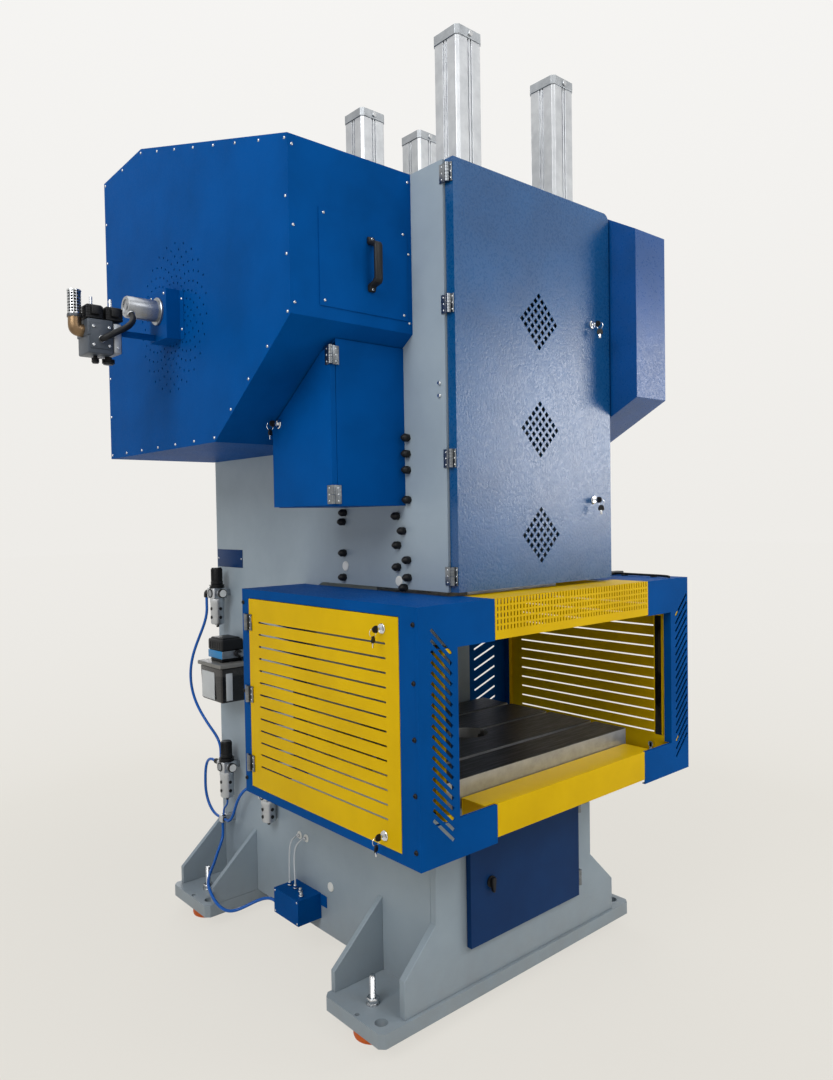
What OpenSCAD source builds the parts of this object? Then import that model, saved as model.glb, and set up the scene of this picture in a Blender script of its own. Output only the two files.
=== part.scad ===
// C-frame eccentric press, geared, with a guarded work space.
// X runs across the machine, -Y is the operator's side, Z is up from the floor.
// The origin lies on the floor, in the middle of the four levelling screws.

/* [Frame] */
// Half width over the two side plates
frame_half = 397; // [390:1:400]
// Thickness of a side plate
plate_t = 45; // [40:1:45]
// Height of the head
head_top = 2700; // [2680:10:2740]
// Front edge of the head
head_front = -773; // [-780:1:-770]
// Rear edge of the side plates
frame_rear = 690; // [680:1:700]

/* [Table] */
// Height of the bolster's top face
table_z = 837; // [825:1:845]
// Thickness of the bolster
bolster_t = 90; // [80:1:95]
// Half width of the bolster
bolster_half = 460; // [440:1:470]

/* [Drive] */
// Stroke of the ram
stroke = 100; // [90:1:104]
// Gear module
gear_module = 10; // [10]
// Teeth of the crank gear
gear_teeth = 88; // [88]
// Teeth of the pinion
pinion_teeth = 24; // [24]
// Height of the crankshaft
crank_z = 2345; // [2340:1:2350]
// Distance of the ram's axis from the origin, towards the operator
ram_reach = 444; // [440:1:446]

/* [Guards] */
// Thickness of the guard sheets
sheet = 3; // [2:0.5:3]
// Slots in a yellow side door
door_slots = 13; // [8:1:14]
// Slanted slots in a front post
post_slots = 19; // [10:1:19]

/* [Hidden] */
$fn = 48;
gap = 0.3;
half_in = frame_half - plate_t;
bar_low = 50;
bar_top = 96;
bar_half = 631;
bar_mid = 553;
slug_r = 100;
bar_depth = 300;
ram_y = -ram_reach;
shaft_y = ram_y + gear_module * (gear_teeth + pinion_teeth) / 2;
bolster_low = table_z - bolster_t;
throat_rear = -60;
throat_top = 1400;
pedestal_front_y = -692;
bolster_front = -810;
bolster_rear = -78;
slot_y = [-663, ram_y, -232];
ram_half = 225;
ram_front = ram_y - 236;
ram_back = ram_y + 236;
ram_low = table_z + 500;
head_z = 1900;
ball_z = ram_low + 423;
eccentric = stroke / 2;
front_cyl = [233, -678];
rear_cyl = [142, -78];
cyl_side = 116;
cyl_top = 3160;
cap_t = 30;
rod_r = 16;
fly_r = 440;
fly_x = [-700, -560];
motor_y = 520;
motor_z = 2830;
pulley_r = 90;
guard_x = [-847, -frame_half];
cover_x = [frame_half - 5, 574];
guard_side = [[-171, 1882], [700, 1882], [700, 2970], [342, 2985], [-627, 2700], [-627, 2204]];
cover_side = [[-917, 2041], [-610, 1871], [-60, 1871], [270, 2070], [270, 2600], [-60, 2820],
    [-567, 2820], [-917, 2626]];
slope = (guard_side[5][1] - guard_side[0][1]) / (guard_side[5][0] - guard_side[0][0]);
hatch_x = [-748, -418];
hatch_z = [2241, 2522];
work_x = [-660, 700];
work_y = [-926, 13];
work_z = [665, 1388];
open_x = [-510, 583];
open_z = [779, 1264];
arm_x = [-357, 408];
side_door_y = [-845, -32];
side_door_z = [695, 1355];
cab_y = [-580, -248];
cab_x = [-682, -662];
cab_low = 1668;
up_door_x = [-389, 382];
up_door_z = [1401, 2700];
up_door_y = [-810, -776];
ped_door_x = [-262, 300];
ped_door_z = [228, 640];
hinge_r = 7;
hinge_half = 23;
pad_r = 64;

// A box between two corners, given as a range along each axis.
module block(x, y, z) {
    translate([x[0], y[0], z[0]])
        cube([x[1] - x[0], y[1] - y[0], z[1] - z[0]]);
}

// An outline drawn in Y and Z, drawn out along X.
module along_x(x) {
    translate([x[0], 0, 0])
        rotate([90, 0, 90])
            linear_extrude(x[1] - x[0])
                children();
}

// An outline drawn in X and Z, drawn out along Y.
module along_y(y) {
    translate([0, y[1], 0])
        rotate([90, 0, 0])
            linear_extrude(y[1] - y[0])
                children();
}

module rod_x(x, at, r) {
    translate([x[0], at[0], at[1]])
        rotate([0, 90, 0])
            cylinder(h = x[1] - x[0], r = r);
}

module rod_y(y, at, r) {
    translate([at[0], y[0], at[1]])
        rotate([-90, 0, 0])
            cylinder(h = y[1] - y[0], r = r);
}

module rod_z(z, at, r) {
    translate([at[0], at[1], z[0]])
        cylinder(h = z[1] - z[0], r = r);
}

// Inward normal of an edge of a counter-clockwise outline.
function normal(a, b) = [a[1] - b[1], b[0] - a[0]] / norm(b - a);

// A convex or stepped outline moved inwards by a wall's thickness.
function inset(p, d) = [for (i = [0:len(p) - 1])
    let (u = normal(p[(i + len(p) - 1) % len(p)], p[i]), v = normal(p[i], p[(i + 1) % len(p)]))
        p[i] + d * (u + v) / (1 + u * v)];

// Point t of the way from b to c on a smooth curve through four points.
function smooth(a, b, c, d, t) = 0.5 * (2 * b + (c - a) * t + (2 * a - 5 * b + 4 * c - d) * t * t
    + (3 * b - a - 3 * c + d) * t * t * t);

// A route with steps points between each pair of its own points.
function route(p, steps) = [for (i = [0:len(p) - 2], k = [0:steps - (i == len(p) - 2 ? 0 : 1)])
    smooth(p[max(i - 1, 0)], p[i], p[i + 1], p[min(i + 2, len(p) - 1)], k / steps)];

function unit(v) = v / norm(v);
function heading(p, i) = unit(p[min(i + 1, len(p) - 1)] - p[max(i - 1, 0)]);

// The eight corners of the ring round point i of a route.
function ring(p, i, r, ref) = let (t = heading(p, i), u = unit(cross(ref, t)), v = cross(t, u))
    [for (k = [0:7]) p[i] + r * (u * cos(45 * k) + v * sin(45 * k))];

// A round tube swept along a route.
module tube(p, r, ref) {
    n = len(p);
    rings = [for (i = [0:n - 1]) each ring(p, i, r, ref)];
    sides = [for (i = [0:n - 2], k = [0:7])
        [i * 8 + k, i * 8 + (k + 1) % 8, i * 8 + 8 + (k + 1) % 8, i * 8 + 8 + k]];
    ends = [[for (k = [0:7]) 7 - k], [for (k = [0:7]) (n - 1) * 8 + k]];
    polyhedron(points = rings, faces = concat([for (f = sides) [f[3], f[2], f[1], f[0]]],
        [for (f = ends) [for (k = [0:7]) f[7 - k]]]));
}

// ---- Welded frame ----

// A square corner filled to a radius, so that the throat's corners are round.
module throat_corner(z, up, r) {
    translate([throat_rear, z])
        mirror([0, up ? 0 : 1])
            difference() {
                translate([-r, 0])
                    square(r + 1);
                translate([-r, r])
                    circle(r);
            }
}

module side_outline() {
    nose = bolster_front + 30;
    low = pedestal_front_y + 25;
    difference() {
        polygon([[low, bar_top], [frame_rear, bar_top], [frame_rear, head_top], [head_front, head_top],
            [head_front, throat_top], [throat_rear, throat_top], [throat_rear, bolster_low],
            [nose, bolster_low], [nose, bolster_low - 100], [low, bolster_low - 200]]);
        translate([ram_y, crank_z])
            circle(130);
        translate([shaft_y, crank_z])
            circle(90);
    }
    throat_corner(bolster_low, true, 15);
    throat_corner(throat_top, false, 60);
}

module side_plate_left() {
    color("#9aa1ab")
        along_x([-frame_half, -half_in])
            side_outline();
}

module side_plate_right() {
    color("#9aa1ab")
        along_x([half_in, frame_half])
            side_outline();
}

// Throat web, back plate, bed and crown, each welded between the side plates.
module frame_webs() {
    in_x = [-half_in, half_in];
    bed_y = [bolster_front + 30, throat_rear + 40];
    color("#9aa1ab") {
        block(in_x, [throat_rear, throat_rear + 40], [bolster_low, head_z - 120]);
        block(in_x, [frame_rear - 35, frame_rear - 10], [bar_top + 60, head_top - 40]);
        difference() {
            block(in_x, bed_y, [bolster_low - 60, bolster_low]);
            rod_z([bolster_low - 61, bolster_low + 1], [0, ram_y], slug_r);
        }
        difference() {
            block(in_x, [head_front + 30, frame_rear - 10], [head_top - 40, head_top]);
            for (side = [-1, 1]) {
                rod_z([head_top - 41, head_top + 1], [side * front_cyl[0], front_cyl[1]], rod_r + 4);
                rod_z([head_top - 41, head_top + 1], [side * rear_cyl[0], rear_cyl[1]], rod_r + 4);
            }
        }
    }
}

// Front plate of the pedestal, with the wings that brace it to the base bar.
module pedestal_plate() {
    wing = 531;
    color("#9aa1ab")
        along_y([pedestal_front_y, pedestal_front_y + 25])
            difference() {
                polygon([[-wing, bar_top], [wing, bar_top], [wing, 215], [frame_half, 346],
                    [frame_half, bolster_low - 200], [half_in, bolster_low - 200],
                    [half_in, bolster_low - 100], [-half_in, bolster_low - 100],
                    [-half_in, bolster_low - 200], [-frame_half, bolster_low - 200],
                    [-frame_half, 346], [-wing, 215]]);
                translate([ped_door_x[0] + 30, ped_door_z[0] + 30])
                    square([ped_door_x[1] - ped_door_x[0] - 60, ped_door_z[1] - ped_door_z[0] - 60]);
            }
}

// One bar, drilled for an anchor, a levelling screw and a dowel at each end.
module base_bar(mid) {
    r = 12;
    difference() {
        block([-bar_half, bar_half], [mid - bar_depth / 2, mid + bar_depth / 2], [bar_low, bar_top]);
        for (side = [-1, 1]) {
            rod_z([bar_low - 1, bar_top + 1], [side * 588, mid - 95], 21);
            rod_z([bar_low - 1, bar_top + 1], [side * 545, mid], 12);
            rod_z([bar_low - 1, bar_top + 1], [side * 617, mid - 12], 8);
            for (end = [-1, 1])
                translate([side * bar_half, mid + end * bar_depth / 2, 0])
                    rotate(45)
                        translate([-r, -r, bar_low - 1])
                            cube([2 * r, 2 * r, bar_top - bar_low + 2]);
        }
    }
}

// The front bar is notched from behind, so that scrap from the bolster's bore falls clear.
module base_bars() {
    cut_z = [bar_low - 1, bar_top + 1];
    color("#9aa1ab") {
        difference() {
            base_bar(-bar_mid);
            rod_z(cut_z, [0, ram_y], slug_r);
            block([-slug_r, slug_r], [ram_y, bar_depth / 2 - bar_mid + 1], cut_z);
        }
        base_bar(bar_mid);
    }
}

module foot_gussets() {
    color("#9aa1ab")
        for (side = [-1, 1], y = [[-424, -404], [404, 424], [frame_rear - 20, frame_rear]])
            along_y(y)
                polygon([[side * frame_half, bar_top], [side * 600, bar_top], [side * 600, 165],
                    [side * frame_half, 348]]);
}

module levelling_pads() {
    color("#d9682f")
        for (x = [-545, 545], y = [-bar_mid, bar_mid]) {
            rod_z([0, 34], [x, y], pad_r);
            rod_z([34, bar_low], [x, y], pad_r - 11);
        }
}

module jack_screws() {
    color("#c9cdd2")
        for (x = [-545, 545], y = [-bar_mid, bar_mid]) {
            rod_z([bar_low, 200], [x, y], 11.9);
            rod_z([bar_top, bar_top + 4], [x, y], 22);
            translate([x, y, bar_top + 4])
                cylinder(h = 19, r = 20.8, $fn = 6);
        }
}

// ---- Table ----

module bolster() {
    slot_w = 22;
    slot_wide = 38;
    slot_deep = 38;
    color("#5d6166")
        difference() {
            block([-bolster_half, bolster_half], [bolster_front, bolster_rear], [bolster_low, table_z]);
            for (y = slot_y) {
                block([-bolster_half - 1, bolster_half + 1], [y - slot_w / 2, y + slot_w / 2],
                    [table_z - slot_deep, table_z + 1]);
                block([-bolster_half - 1, bolster_half + 1], [y - slot_wide / 2, y + slot_wide / 2],
                    [table_z - slot_deep, table_z - slot_deep + 16]);
            }
            rod_z([bolster_low - 1, table_z + 1], [0, ram_y], 75);
        }
}

// ---- Bearings, guides and balance cylinders ----

// A flanged bush through a side plate; outwards is 1 on the right.
module bush(outwards, y, outer, bore) {
    x = outwards > 0 ? [half_in, frame_half + 8] : [-frame_half - 8, -half_in];
    flange = outwards > 0 ? [half_in - 10, half_in] : [-half_in, -half_in + 10];
    difference() {
        union() {
            rod_x(x, [y, crank_z], outer);
            rod_x(flange, [y, crank_z], outer + 20);
        }
        rod_x([x[0] - 20, x[1] + 20], [y, crank_z], bore);
    }
}

module shaft_bearings() {
    color("#b08a4a")
        for (outwards = [-1, 1]) {
            bush(outwards, ram_y, 130, 90.05);
            bush(outwards, shaft_y, 90, 60.05);
        }
}

// Four rails with lips, which hold the ram's corners.
module ram_guides() {
    z = [throat_top + 20, head_z - 110];
    color("#6f757c")
        for (side = [-1, 1], end = [-1, 1]) {
            face = ram_y + end * (236 + gap);
            edge = ram_y + end * 156;
            lip = ram_y + end * 276;
            x_rail = side > 0 ? [ram_half + gap, half_in] : [-half_in, -ram_half - gap];
            x_lip = side > 0 ? [ram_half - 45, half_in] : [-half_in, -ram_half + 45];
            block(x_rail, [min(edge, face), max(edge, face)], z);
            block(x_lip, [min(face, lip), max(face, lip)], z);
        }
}

function cylinder_spots() = [for (side = [-1, 1], at = [front_cyl, rear_cyl]) [side * at[0], at[1]]];

// Extruded barrels, round bored, with a groove down the middle of each side.
module cylinder_barrels() {
    half = cyl_side / 2;
    z = [head_top + cap_t, cyl_top - cap_t];
    color("#b9bdc1")
        for (at = cylinder_spots())
            translate([at[0], at[1], z[0]])
                linear_extrude(z[1] - z[0])
                    difference() {
                        square(cyl_side - 6, center = true);
                        circle(46);
                        for (turn = [0:90:270])
                            rotate(turn) {
                                translate([half - 8, -9])
                                    square([10, 6]);
                                translate([half - 8, 3])
                                    square([10, 6]);
                            }
                        for (turn = [0:90:270])
                            rotate(turn + 45)
                                translate([half * 1.24, -20])
                                    square([20, 40]);
                    }
}

module cylinder_caps() {
    color("#8d9299")
        for (at = cylinder_spots(), low = [head_top, cyl_top - cap_t])
            difference() {
                translate([at[0], at[1], low])
                    linear_extrude(cap_t)
                        difference() {
                            square(cyl_side, center = true);
                            for (turn = [45:90:315])
                                rotate(turn)
                                    translate([cyl_side * 0.64, -20])
                                        square([20, 40]);
                        }
                if (low == head_top)
                    rod_z([low - 1, low + cap_t + 1], at, rod_r + 1);
            }
}

// ---- Covers on the head ----

// A closed-sided sheet housing along X: its outer end is the wall at x_out.
module housing(side, x, x_out) {
    wall = x_out == x[0] ? [x[0], x[0] + sheet] : [x[1] - sheet, x[1]];
    along_x(x)
        difference() {
            polygon(side);
            polygon(inset(side, sheet));
        }
    along_x(wall)
        polygon(side);
}

// Part of a housing's inner side, where no side plate closes it.
module housing_back(side, x, y, z) {
    along_x(x)
        intersection() {
            polygon(side);
            translate([y[0], z[0]])
                square([y[1] - y[0], z[1] - z[0]]);
        }
}

module flywheel_guard() {
    rings = 8;
    spokes = 24;
    color("#1c5296")
        difference() {
            union() {
                housing(guard_side, guard_x, guard_x[0]);
                housing_back(guard_side, [-frame_half - sheet, -frame_half], [-700, 800],
                    [head_top, 3000]);
            }
            rod_x([-frame_half - 10, -frame_half + 1], [motor_y, motor_z], 60);
            rod_x([guard_x[0] - 1, guard_x[0] + 10], [shaft_y, crank_z], 62);
            block([hatch_x[0] + 20, hatch_x[1] - 20], [-630, -600], [hatch_z[0] + 20, hatch_z[1] - 20]);
            for (spoke = [0:spokes - 1], ring = [0:rings - 1])
                rod_x([guard_x[0] - 1, guard_x[0] + sheet + 1],
                    [shaft_y + (96 + 22 * ring) * cos(360 / spokes * (spoke + 0.5 * (ring % 2))),
                    crank_z - 14 + (96 + 22 * ring) * sin(360 / spokes * (spoke + 0.5 * (ring % 2)))],
                    4);
        }
}

module guard_hatch() {
    color("#1c5296")
        difference() {
            block(hatch_x, [guard_side[4][0] - sheet, guard_side[4][0]], hatch_z);
            for (x = [hatch_x[0] + 16, hatch_x[1] - 16], z = [hatch_z[0] + 16, hatch_z[1] - 16])
                rod_y([guard_side[4][0] - 10, guard_side[4][0] + 10], [x, z], 3);
        }
}

module hatch_handle() {
    x = [-584, -544];
    z = [2318, 2457];
    y = guard_side[4][0] - sheet;
    mid = (x[0] + x[1]) / 2;
    color("#1a1b1d") {
        difference() {
            block([mid - 13, mid + 13], [y - 46, y], z);
            block([mid - 14, mid + 14], [y - 30, y + 1], [z[0] + 26, z[1] - 26]);
        }
        for (end = [[z[0] - 12, z[0]], [z[1], z[1] + 12]])
            block([mid - 16, mid + 16], [y - 9, y], end);
    }
}

module hub_bracket() {
    x = [guard_x[0] - 53, guard_x[0]];
    y = [shaft_y - 66, shaft_y + 66];
    z = [crank_z - 99, crank_z + 67];
    color("#1c5296")
        difference() {
            union() {
                block(x, y, z);
                block([guard_x[0] - sheet, guard_x[0]], [y[0] - 22, y[1] + 22], z);
            }
            block([x[0] + sheet, x[1] + 1], [y[0] + sheet, y[1] - sheet], [z[0] + sheet, z[1] - sheet]);
            rod_x([x[0] - 1, x[0] + 10], [shaft_y, crank_z], 26);
        }
}

// Air enters the shaft's end here and passes through it to the clutch.
module rotary_union() {
    face = guard_x[0] - 53;
    color("#b5b9be")
        difference() {
            union() {
                rod_x([face - 113, face - 8], [shaft_y, crank_z], 36);
                rod_x([face - 8, face], [shaft_y, crank_z], 46);
            }
            rod_x([face - 60, face + 1], [shaft_y, crank_z], 21.05);
        }
}

// Double safety valve for the clutch: body, two coils and their silencer thread.
module valve_block() {
    arm = guard_x[0] - 53;
    color("#8f959c") {
        block([-1158, -1046], [60, 150], [2166, 2280]);
        block([-1046, arm], [140, 150], [2250, 2270]);
    }
    color("#1b1c1f") {
        block([-1158, -1102], [70, 138], [2280, 2330]);
        block([-1096, -1038], [70, 138], [2280, 2330]);
        rod_z([2141, 2166], [-1078, 105], 20);
        rod_z([2148, 2166], [-1120, 105], 12);
    }
}

module valve_silencer() {
    x = -1182;
    z = 2244;
    color("#b0813c") {
        rod_x([x, -1158], [105, z], 21);
        translate([x, 105, z])
            sphere(r = 22);
        rod_z([z, z + 38], [x, 105], 21);
    }
    color("#c3c7cb") {
        rod_z([z + 38, z + 52], [x, 105], 22);
        rod_z([z + 52, z + 126], [x, 105], 22);
    }
}

module gear_cover() {
    color("#1c5296")
        difference() {
            union() {
                housing(cover_side, cover_x, cover_x[1]);
                housing_back(cover_side, [cover_x[0], cover_x[0] + sheet], [-1000, head_front],
                    [1800, 3000]);
                housing_back(cover_side, [frame_half, frame_half + sheet], [head_front, 300],
                    [head_top, 3000]);
            }
            block([cover_x[0] - 1, frame_half], [head_front, 400], [1800, 3000]);
        }
}

// ---- Motor and belts ----

module drive_motor() {
    x = [-385, -60];
    color("#2c5d8f") {
        difference() {
            union() {
                rod_x(x, [motor_y, motor_z], 112);
                for (turn = [30:20:330])
                    translate([0, motor_y, motor_z])
                        rotate([turn - 180, 0, 0])
                            block([x[0] + 40, x[1] - 60], [-3, 3], [100, 125]);
            }
            rod_x([x[0] - 1, x[0] + 126], [motor_y, motor_z], 24.05);
        }
        for (y = [motor_y - 100, motor_y + 60])
            block([x[0] + 60, x[1] - 70], [y, y + 40], [head_top, motor_z - 90]);
        block([-260, -160], [motor_y - 160, motor_y - 95], [motor_z - 60, motor_z + 50]);
    }
}

// A belt's outline round two wheels: an arc on each, joined by the straight runs. The arc's
// chords touch its circle from outside, so that they stay clear of the wheel.
function arc(at, r, from, to) = let (steps = 24, turn = (to - from) / steps)
    [for (k = [0:steps]) at + r / cos(turn / 2) * [cos(from + turn * k), sin(from + turn * k)]];

function belt(r) = let (a = [shaft_y, crank_z], b = [motor_y, motor_z], d = b - a,
    turn = atan2(d[1], d[0]), lean = acos((fly_r - pulley_r) / norm(d)))
    concat(arc(a, fly_r + r, turn + lean, turn + 360 - lean),
        arc(b, pulley_r + r, turn - lean, turn + lean));

module v_belts() {
    count = 5;
    pitch = (fly_x[1] - fly_x[0] - 20) / count;
    color("#222222")
        for (k = [0:count - 1])
            along_x([fly_x[0] + 12 + k * pitch, fly_x[0] + 12 + k * pitch + pitch - 6])
                difference() {
                    polygon(belt(11));
                    polygon(belt(0.5));
                }
}

// ---- Cabinets ----

function cab_roof(y) = guard_side[0][1] + slope * (y - guard_side[0][0]) - 4;

function cab_outline() = [[cab_y[0], cab_low], [cab_y[1], cab_low], [cab_y[1], cab_roof(cab_y[1])],
    [cab_y[0], cab_roof(cab_y[0])]];

module side_cabinet() {
    color("#1c5296") {
        housing(cab_outline(), [cab_x[1], -frame_half], -frame_half);
        along_x([-frame_half - 23, -frame_half - 20])
            polygon(inset(cab_outline(), 40));
        for (y = [cab_y[0] + 70, cab_y[1] - 70])
            rod_x([-frame_half - 20, -frame_half - sheet], [y, cab_low + 70], 8);
    }
}

// ---- Doors ----

// An outline in X and Z with one or both upper corners rounded.
module leaf_outline(x, z, r_left, r_right) {
    difference() {
        translate([x[0], z[0]])
            square([x[1] - x[0], z[1] - z[0]]);
        if (r_right > 0)
            translate([x[1] - r_right, z[1] - r_right])
                difference() {
                    square(r_right + 1);
                    circle(r_right);
                }
        if (r_left > 0)
            translate([x[0] + r_left, z[1] - r_left])
                mirror([1, 0])
                    difference() {
                        square(r_left + 1);
                        circle(r_left);
                    }
    }
}

// Knuckle and leaf of one hinge half; the pin belongs to the fixed half.
module hinge_fixed(at, z, x, y) {
    rod_z([z - hinge_half, z - gap], at, hinge_r);
    rod_z([z - gap, z + hinge_half - 2], at, 3);
    block(x, y, [z - hinge_half, z - gap]);
}

module hinge_moving(at, z, x, y) {
    difference() {
        union() {
            rod_z([z, z + hinge_half], at, hinge_r);
            block(x, y, [z, z + hinge_half]);
        }
        rod_z([z - 1, z + hinge_half + 1], at, 3.05);
    }
}

up_hinge = [-frame_half - 1, -793];
up_hinge_z = [1450, 1806, 2268, 2655];
cab_hinge = [cab_x[0] - 4, cab_y[0] - 6];
cab_hinge_z = [1702, 2116];
ped_hinge = [ped_door_x[1] + 10, pedestal_front_y - 16];
ped_hinge_z = [290, 560];
side_hinge_y = side_door_y[1] + 6;
side_hinge_z = [776, 1020, 1273];
work_mid = (work_x[0] + work_x[1]) / 2;
up_lock = [[281, 2295], [279, 1681]];
side_lock = [[-775, 1318], [-772, 726]];
cab_lock = [-290, 1938];
ped_lock = [-167, 423];
lock_r = 10.9;
lock_hole = 11;
vent_z = [1565, 1913, 2265];

// A diamond of six by six diamond holes.
module vent(z) {
    pitch = 23.5 / sqrt(2);
    for (i = [0:5], j = [0:5])
        translate([-4 + (i - j) * pitch, z + (i + j - 5) * pitch])
            rotate(45)
                square(15, center = true);
}

module upper_door() {
    r = 28;
    x = up_door_x;
    z = up_door_z;
    color("#1c5296") {
        difference() {
            along_y(up_door_y)
                leaf_outline(x, z, 0, r);
            along_y([up_door_y[0] + sheet, up_door_y[1] + 1])
                leaf_outline([x[0] + sheet, x[1] - sheet], [z[0] + sheet, z[1] - sheet], 0, r);
            along_y([up_door_y[0] - 1, up_door_y[0] + 10])
                for (z = vent_z)
                    vent(z);
            for (at = up_lock)
                rod_y([up_door_y[0] - 1, up_door_y[0] + 10], at, lock_hole);
        }
        for (z = up_hinge_z)
            hinge_moving(up_hinge, z, [up_door_x[0] - 4, up_door_x[0]], [up_door_y[0] + 4, up_hinge[1]]);
    }
}

// The front top corner is blunted, so that the door swings clear of the guard's slope.
module cabinet_door() {
    blunt_y = cab_y[0] + 46;
    blunt_drop = 18;
    side = inset([[cab_y[0], cab_low], [cab_y[1], cab_low], [cab_y[1], cab_roof(cab_y[1])],
        [blunt_y, cab_roof(blunt_y)], [cab_y[0], cab_roof(cab_y[0]) - blunt_drop]], 2);
    color("#1c5296") {
        difference() {
            along_x([cab_x[0], cab_x[1] - 1])
                polygon(side);
            along_x([cab_x[0] + sheet, cab_x[1] + 1])
                polygon(inset(side, sheet));
            rod_x([cab_x[0] - 1, cab_x[0] + 10], cab_lock, lock_hole);
        }
        for (z = cab_hinge_z)
            hinge_moving(cab_hinge, z, [cab_x[0] - 4, cab_x[0]], [cab_hinge[1], cab_y[0] + 24]);
    }
}

module pedestal_door() {
    y = [pedestal_front_y - 21, pedestal_front_y - 1];
    color("#1a2f6a") {
        difference() {
            block(ped_door_x, y, ped_door_z);
            block([ped_door_x[0] + sheet, ped_door_x[1] - sheet], [y[0] + sheet, y[1] + 1],
                [ped_door_z[0] + sheet, ped_door_z[1] - sheet]);
            rod_y([y[0] - 1, y[0] + 10], ped_lock, lock_hole);
        }
        for (z = ped_hinge_z)
            hinge_moving(ped_hinge, z, [ped_door_x[1], ped_hinge[0]], [ped_hinge[1] - 4, ped_hinge[1]]);
    }
}

// A slotted yellow door; it is drawn on the left and mirrored for the right.
module side_door() {
    x = [work_x[0], work_x[0] + 20];
    edge = 54;
    z_span = [side_door_z[0] + 80, side_door_z[1] - 79];
    color("#dcb800") {
        difference() {
            block(x, side_door_y, side_door_z);
            block([x[0] + sheet, x[1] + 1], [side_door_y[0] + sheet, side_door_y[1] - sheet],
                [side_door_z[0] + sheet, side_door_z[1] - sheet]);
            for (k = [0:door_slots - 1])
                block([x[0] - 1, x[0] + 10], [side_door_y[0] + edge + 4, side_door_y[1] - edge - 8],
                    [-3, 3] + [1, 1] * (z_span[0] + k * (z_span[1] - z_span[0]) / (door_slots - 1)));
            for (at = side_lock)
                rod_x([x[0] - 1, x[0] + 10], at, lock_hole);
        }
        for (z = side_hinge_z)
            hinge_moving([x[0] - 8, side_hinge_y], z, [x[0] - 4, x[0]],
                [side_door_y[1] - 22, side_hinge_y]);
    }
}

// Everything drawn on the left of the work space, repeated on its right.
module to_right() {
    translate([2 * work_mid, 0, 0])
        mirror([1, 0, 0])
            children();
}

module side_door_left() {
    side_door();
}

module side_door_right() {
    to_right()
        side_door();
}

module hinge_leaves() {
    x = work_x[0];
    color("#c9cdd2") {
        for (z = up_hinge_z)
            hinge_fixed(up_hinge, z, [-frame_half - 4, -frame_half], [up_hinge[1], head_front + 28]);
        for (z = cab_hinge_z)
            hinge_fixed(cab_hinge, z, [cab_hinge[0], cab_x[1] + 22], [cab_y[0] - 6, cab_y[0]]);
        for (z = ped_hinge_z)
            hinge_fixed(ped_hinge, z, [ped_hinge[0] - 2, ped_hinge[0] + 2],
                [ped_hinge[1], pedestal_front_y]);
        for (z = side_hinge_z) {
            hinge_fixed([x - 8, side_hinge_y], z, [x - 4, x], [side_hinge_y, side_hinge_y + 22]);
            to_right()
                hinge_fixed([x - 8, side_hinge_y], z, [x - 4, x], [side_hinge_y, side_hinge_y + 22]);
        }
    }
}

// A cylinder lock along +Z: plug, collar, key and the cam behind the sheet.
module lock(key) {
    deep = 18;
    color("#b9bcc0") {
        translate([0, 0, -deep])
            cylinder(h = deep + 4, r = lock_r);
        translate([0, 0, gap])
            cylinder(h = 5, r = 15);
        translate([-6, -26, -deep])
            cube([12, 34, 4]);
    }
    if (key)
        color("#2a2b2d") {
            translate([-1.2, -4, 4])
                cube([2.4, 8, 18]);
            translate([-2.5, -11, 22])
                cube([5, 22, 20]);
        }
    else
        color("#17181a")
            translate([-8, -34, 4])
                cube([16, 52, 14]);
}

module lock_front(at, y, key) {
    translate([at[0], y, at[1]])
        rotate([90, 0, 0])
            lock(key);
}

module lock_side(at, x, key) {
    translate([x, at[0], at[1]])
        rotate([90, 0, -90])
            lock(key);
}

module upper_door_lock_high() {
    lock_front(up_lock[0], up_door_y[0], true);
}

module upper_door_lock_low() {
    lock_front(up_lock[1], up_door_y[0], true);
}

module left_door_lock_high() {
    lock_side(side_lock[0], work_x[0], true);
}

module left_door_lock_low() {
    lock_side(side_lock[1], work_x[0], true);
}

module right_door_lock_high() {
    to_right()
        lock_side(side_lock[0], work_x[0], true);
}

module right_door_lock_low() {
    to_right()
        lock_side(side_lock[1], work_x[0], true);
}

module cabinet_door_lock() {
    lock_side(cab_lock, cab_x[0], true);
}

module pedestal_door_lock() {
    lock_front(ped_lock, pedestal_front_y - 21, false);
}

// ---- Guards round the work space ----

// Left half of the blue box: side sheet with a window, roof, rear sheet and floor strip.
// The roof and rear sheet reach the side plate, and the roof's front strip ends at strip_end.
module work_guard_half(plate_face, strip_end) {
    x = work_x;
    rim = 2;
    roof = work_z[1];
    color("#1c5296") {
        difference() {
            block([x[0], x[0] + sheet], [work_y[0] + 12, work_y[1]], [work_z[0], roof - sheet]);
            block([x[0] - 1, x[0] + sheet + 1], side_door_y + [-rim, rim], side_door_z + [-rim, rim]);
        }
        block([x[0], plate_face], [head_front, work_y[1]], [roof - sheet, roof]);
        block([x[0], strip_end], [work_y[0] + sheet, head_front], [roof - sheet, roof]);
        difference() {
            block([x[0] + sheet, plate_face], [work_y[1] - sheet, work_y[1]],
                [work_z[0], roof - sheet]);
            for (k = [0:11])
                translate([-590, 0, work_z[0] + 90 + 46 * k])
                    rotate([0, 20, 0])
                        block([0, 140], [work_y[1] - 10, work_y[1] + 1], [0, 8]);
        }
        block([x[0] + sheet, x[0] + 30], [work_y[0] + 12, work_y[1] - sheet],
            [work_z[0], work_z[0] + sheet]);
    }
}

module work_guard_frame() {
    work_guard_half(-frame_half, arm_x[0]);
    to_right()
        work_guard_half(2 * work_mid - frame_half, 2 * work_mid - arm_x[1] - 29);
}

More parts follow.
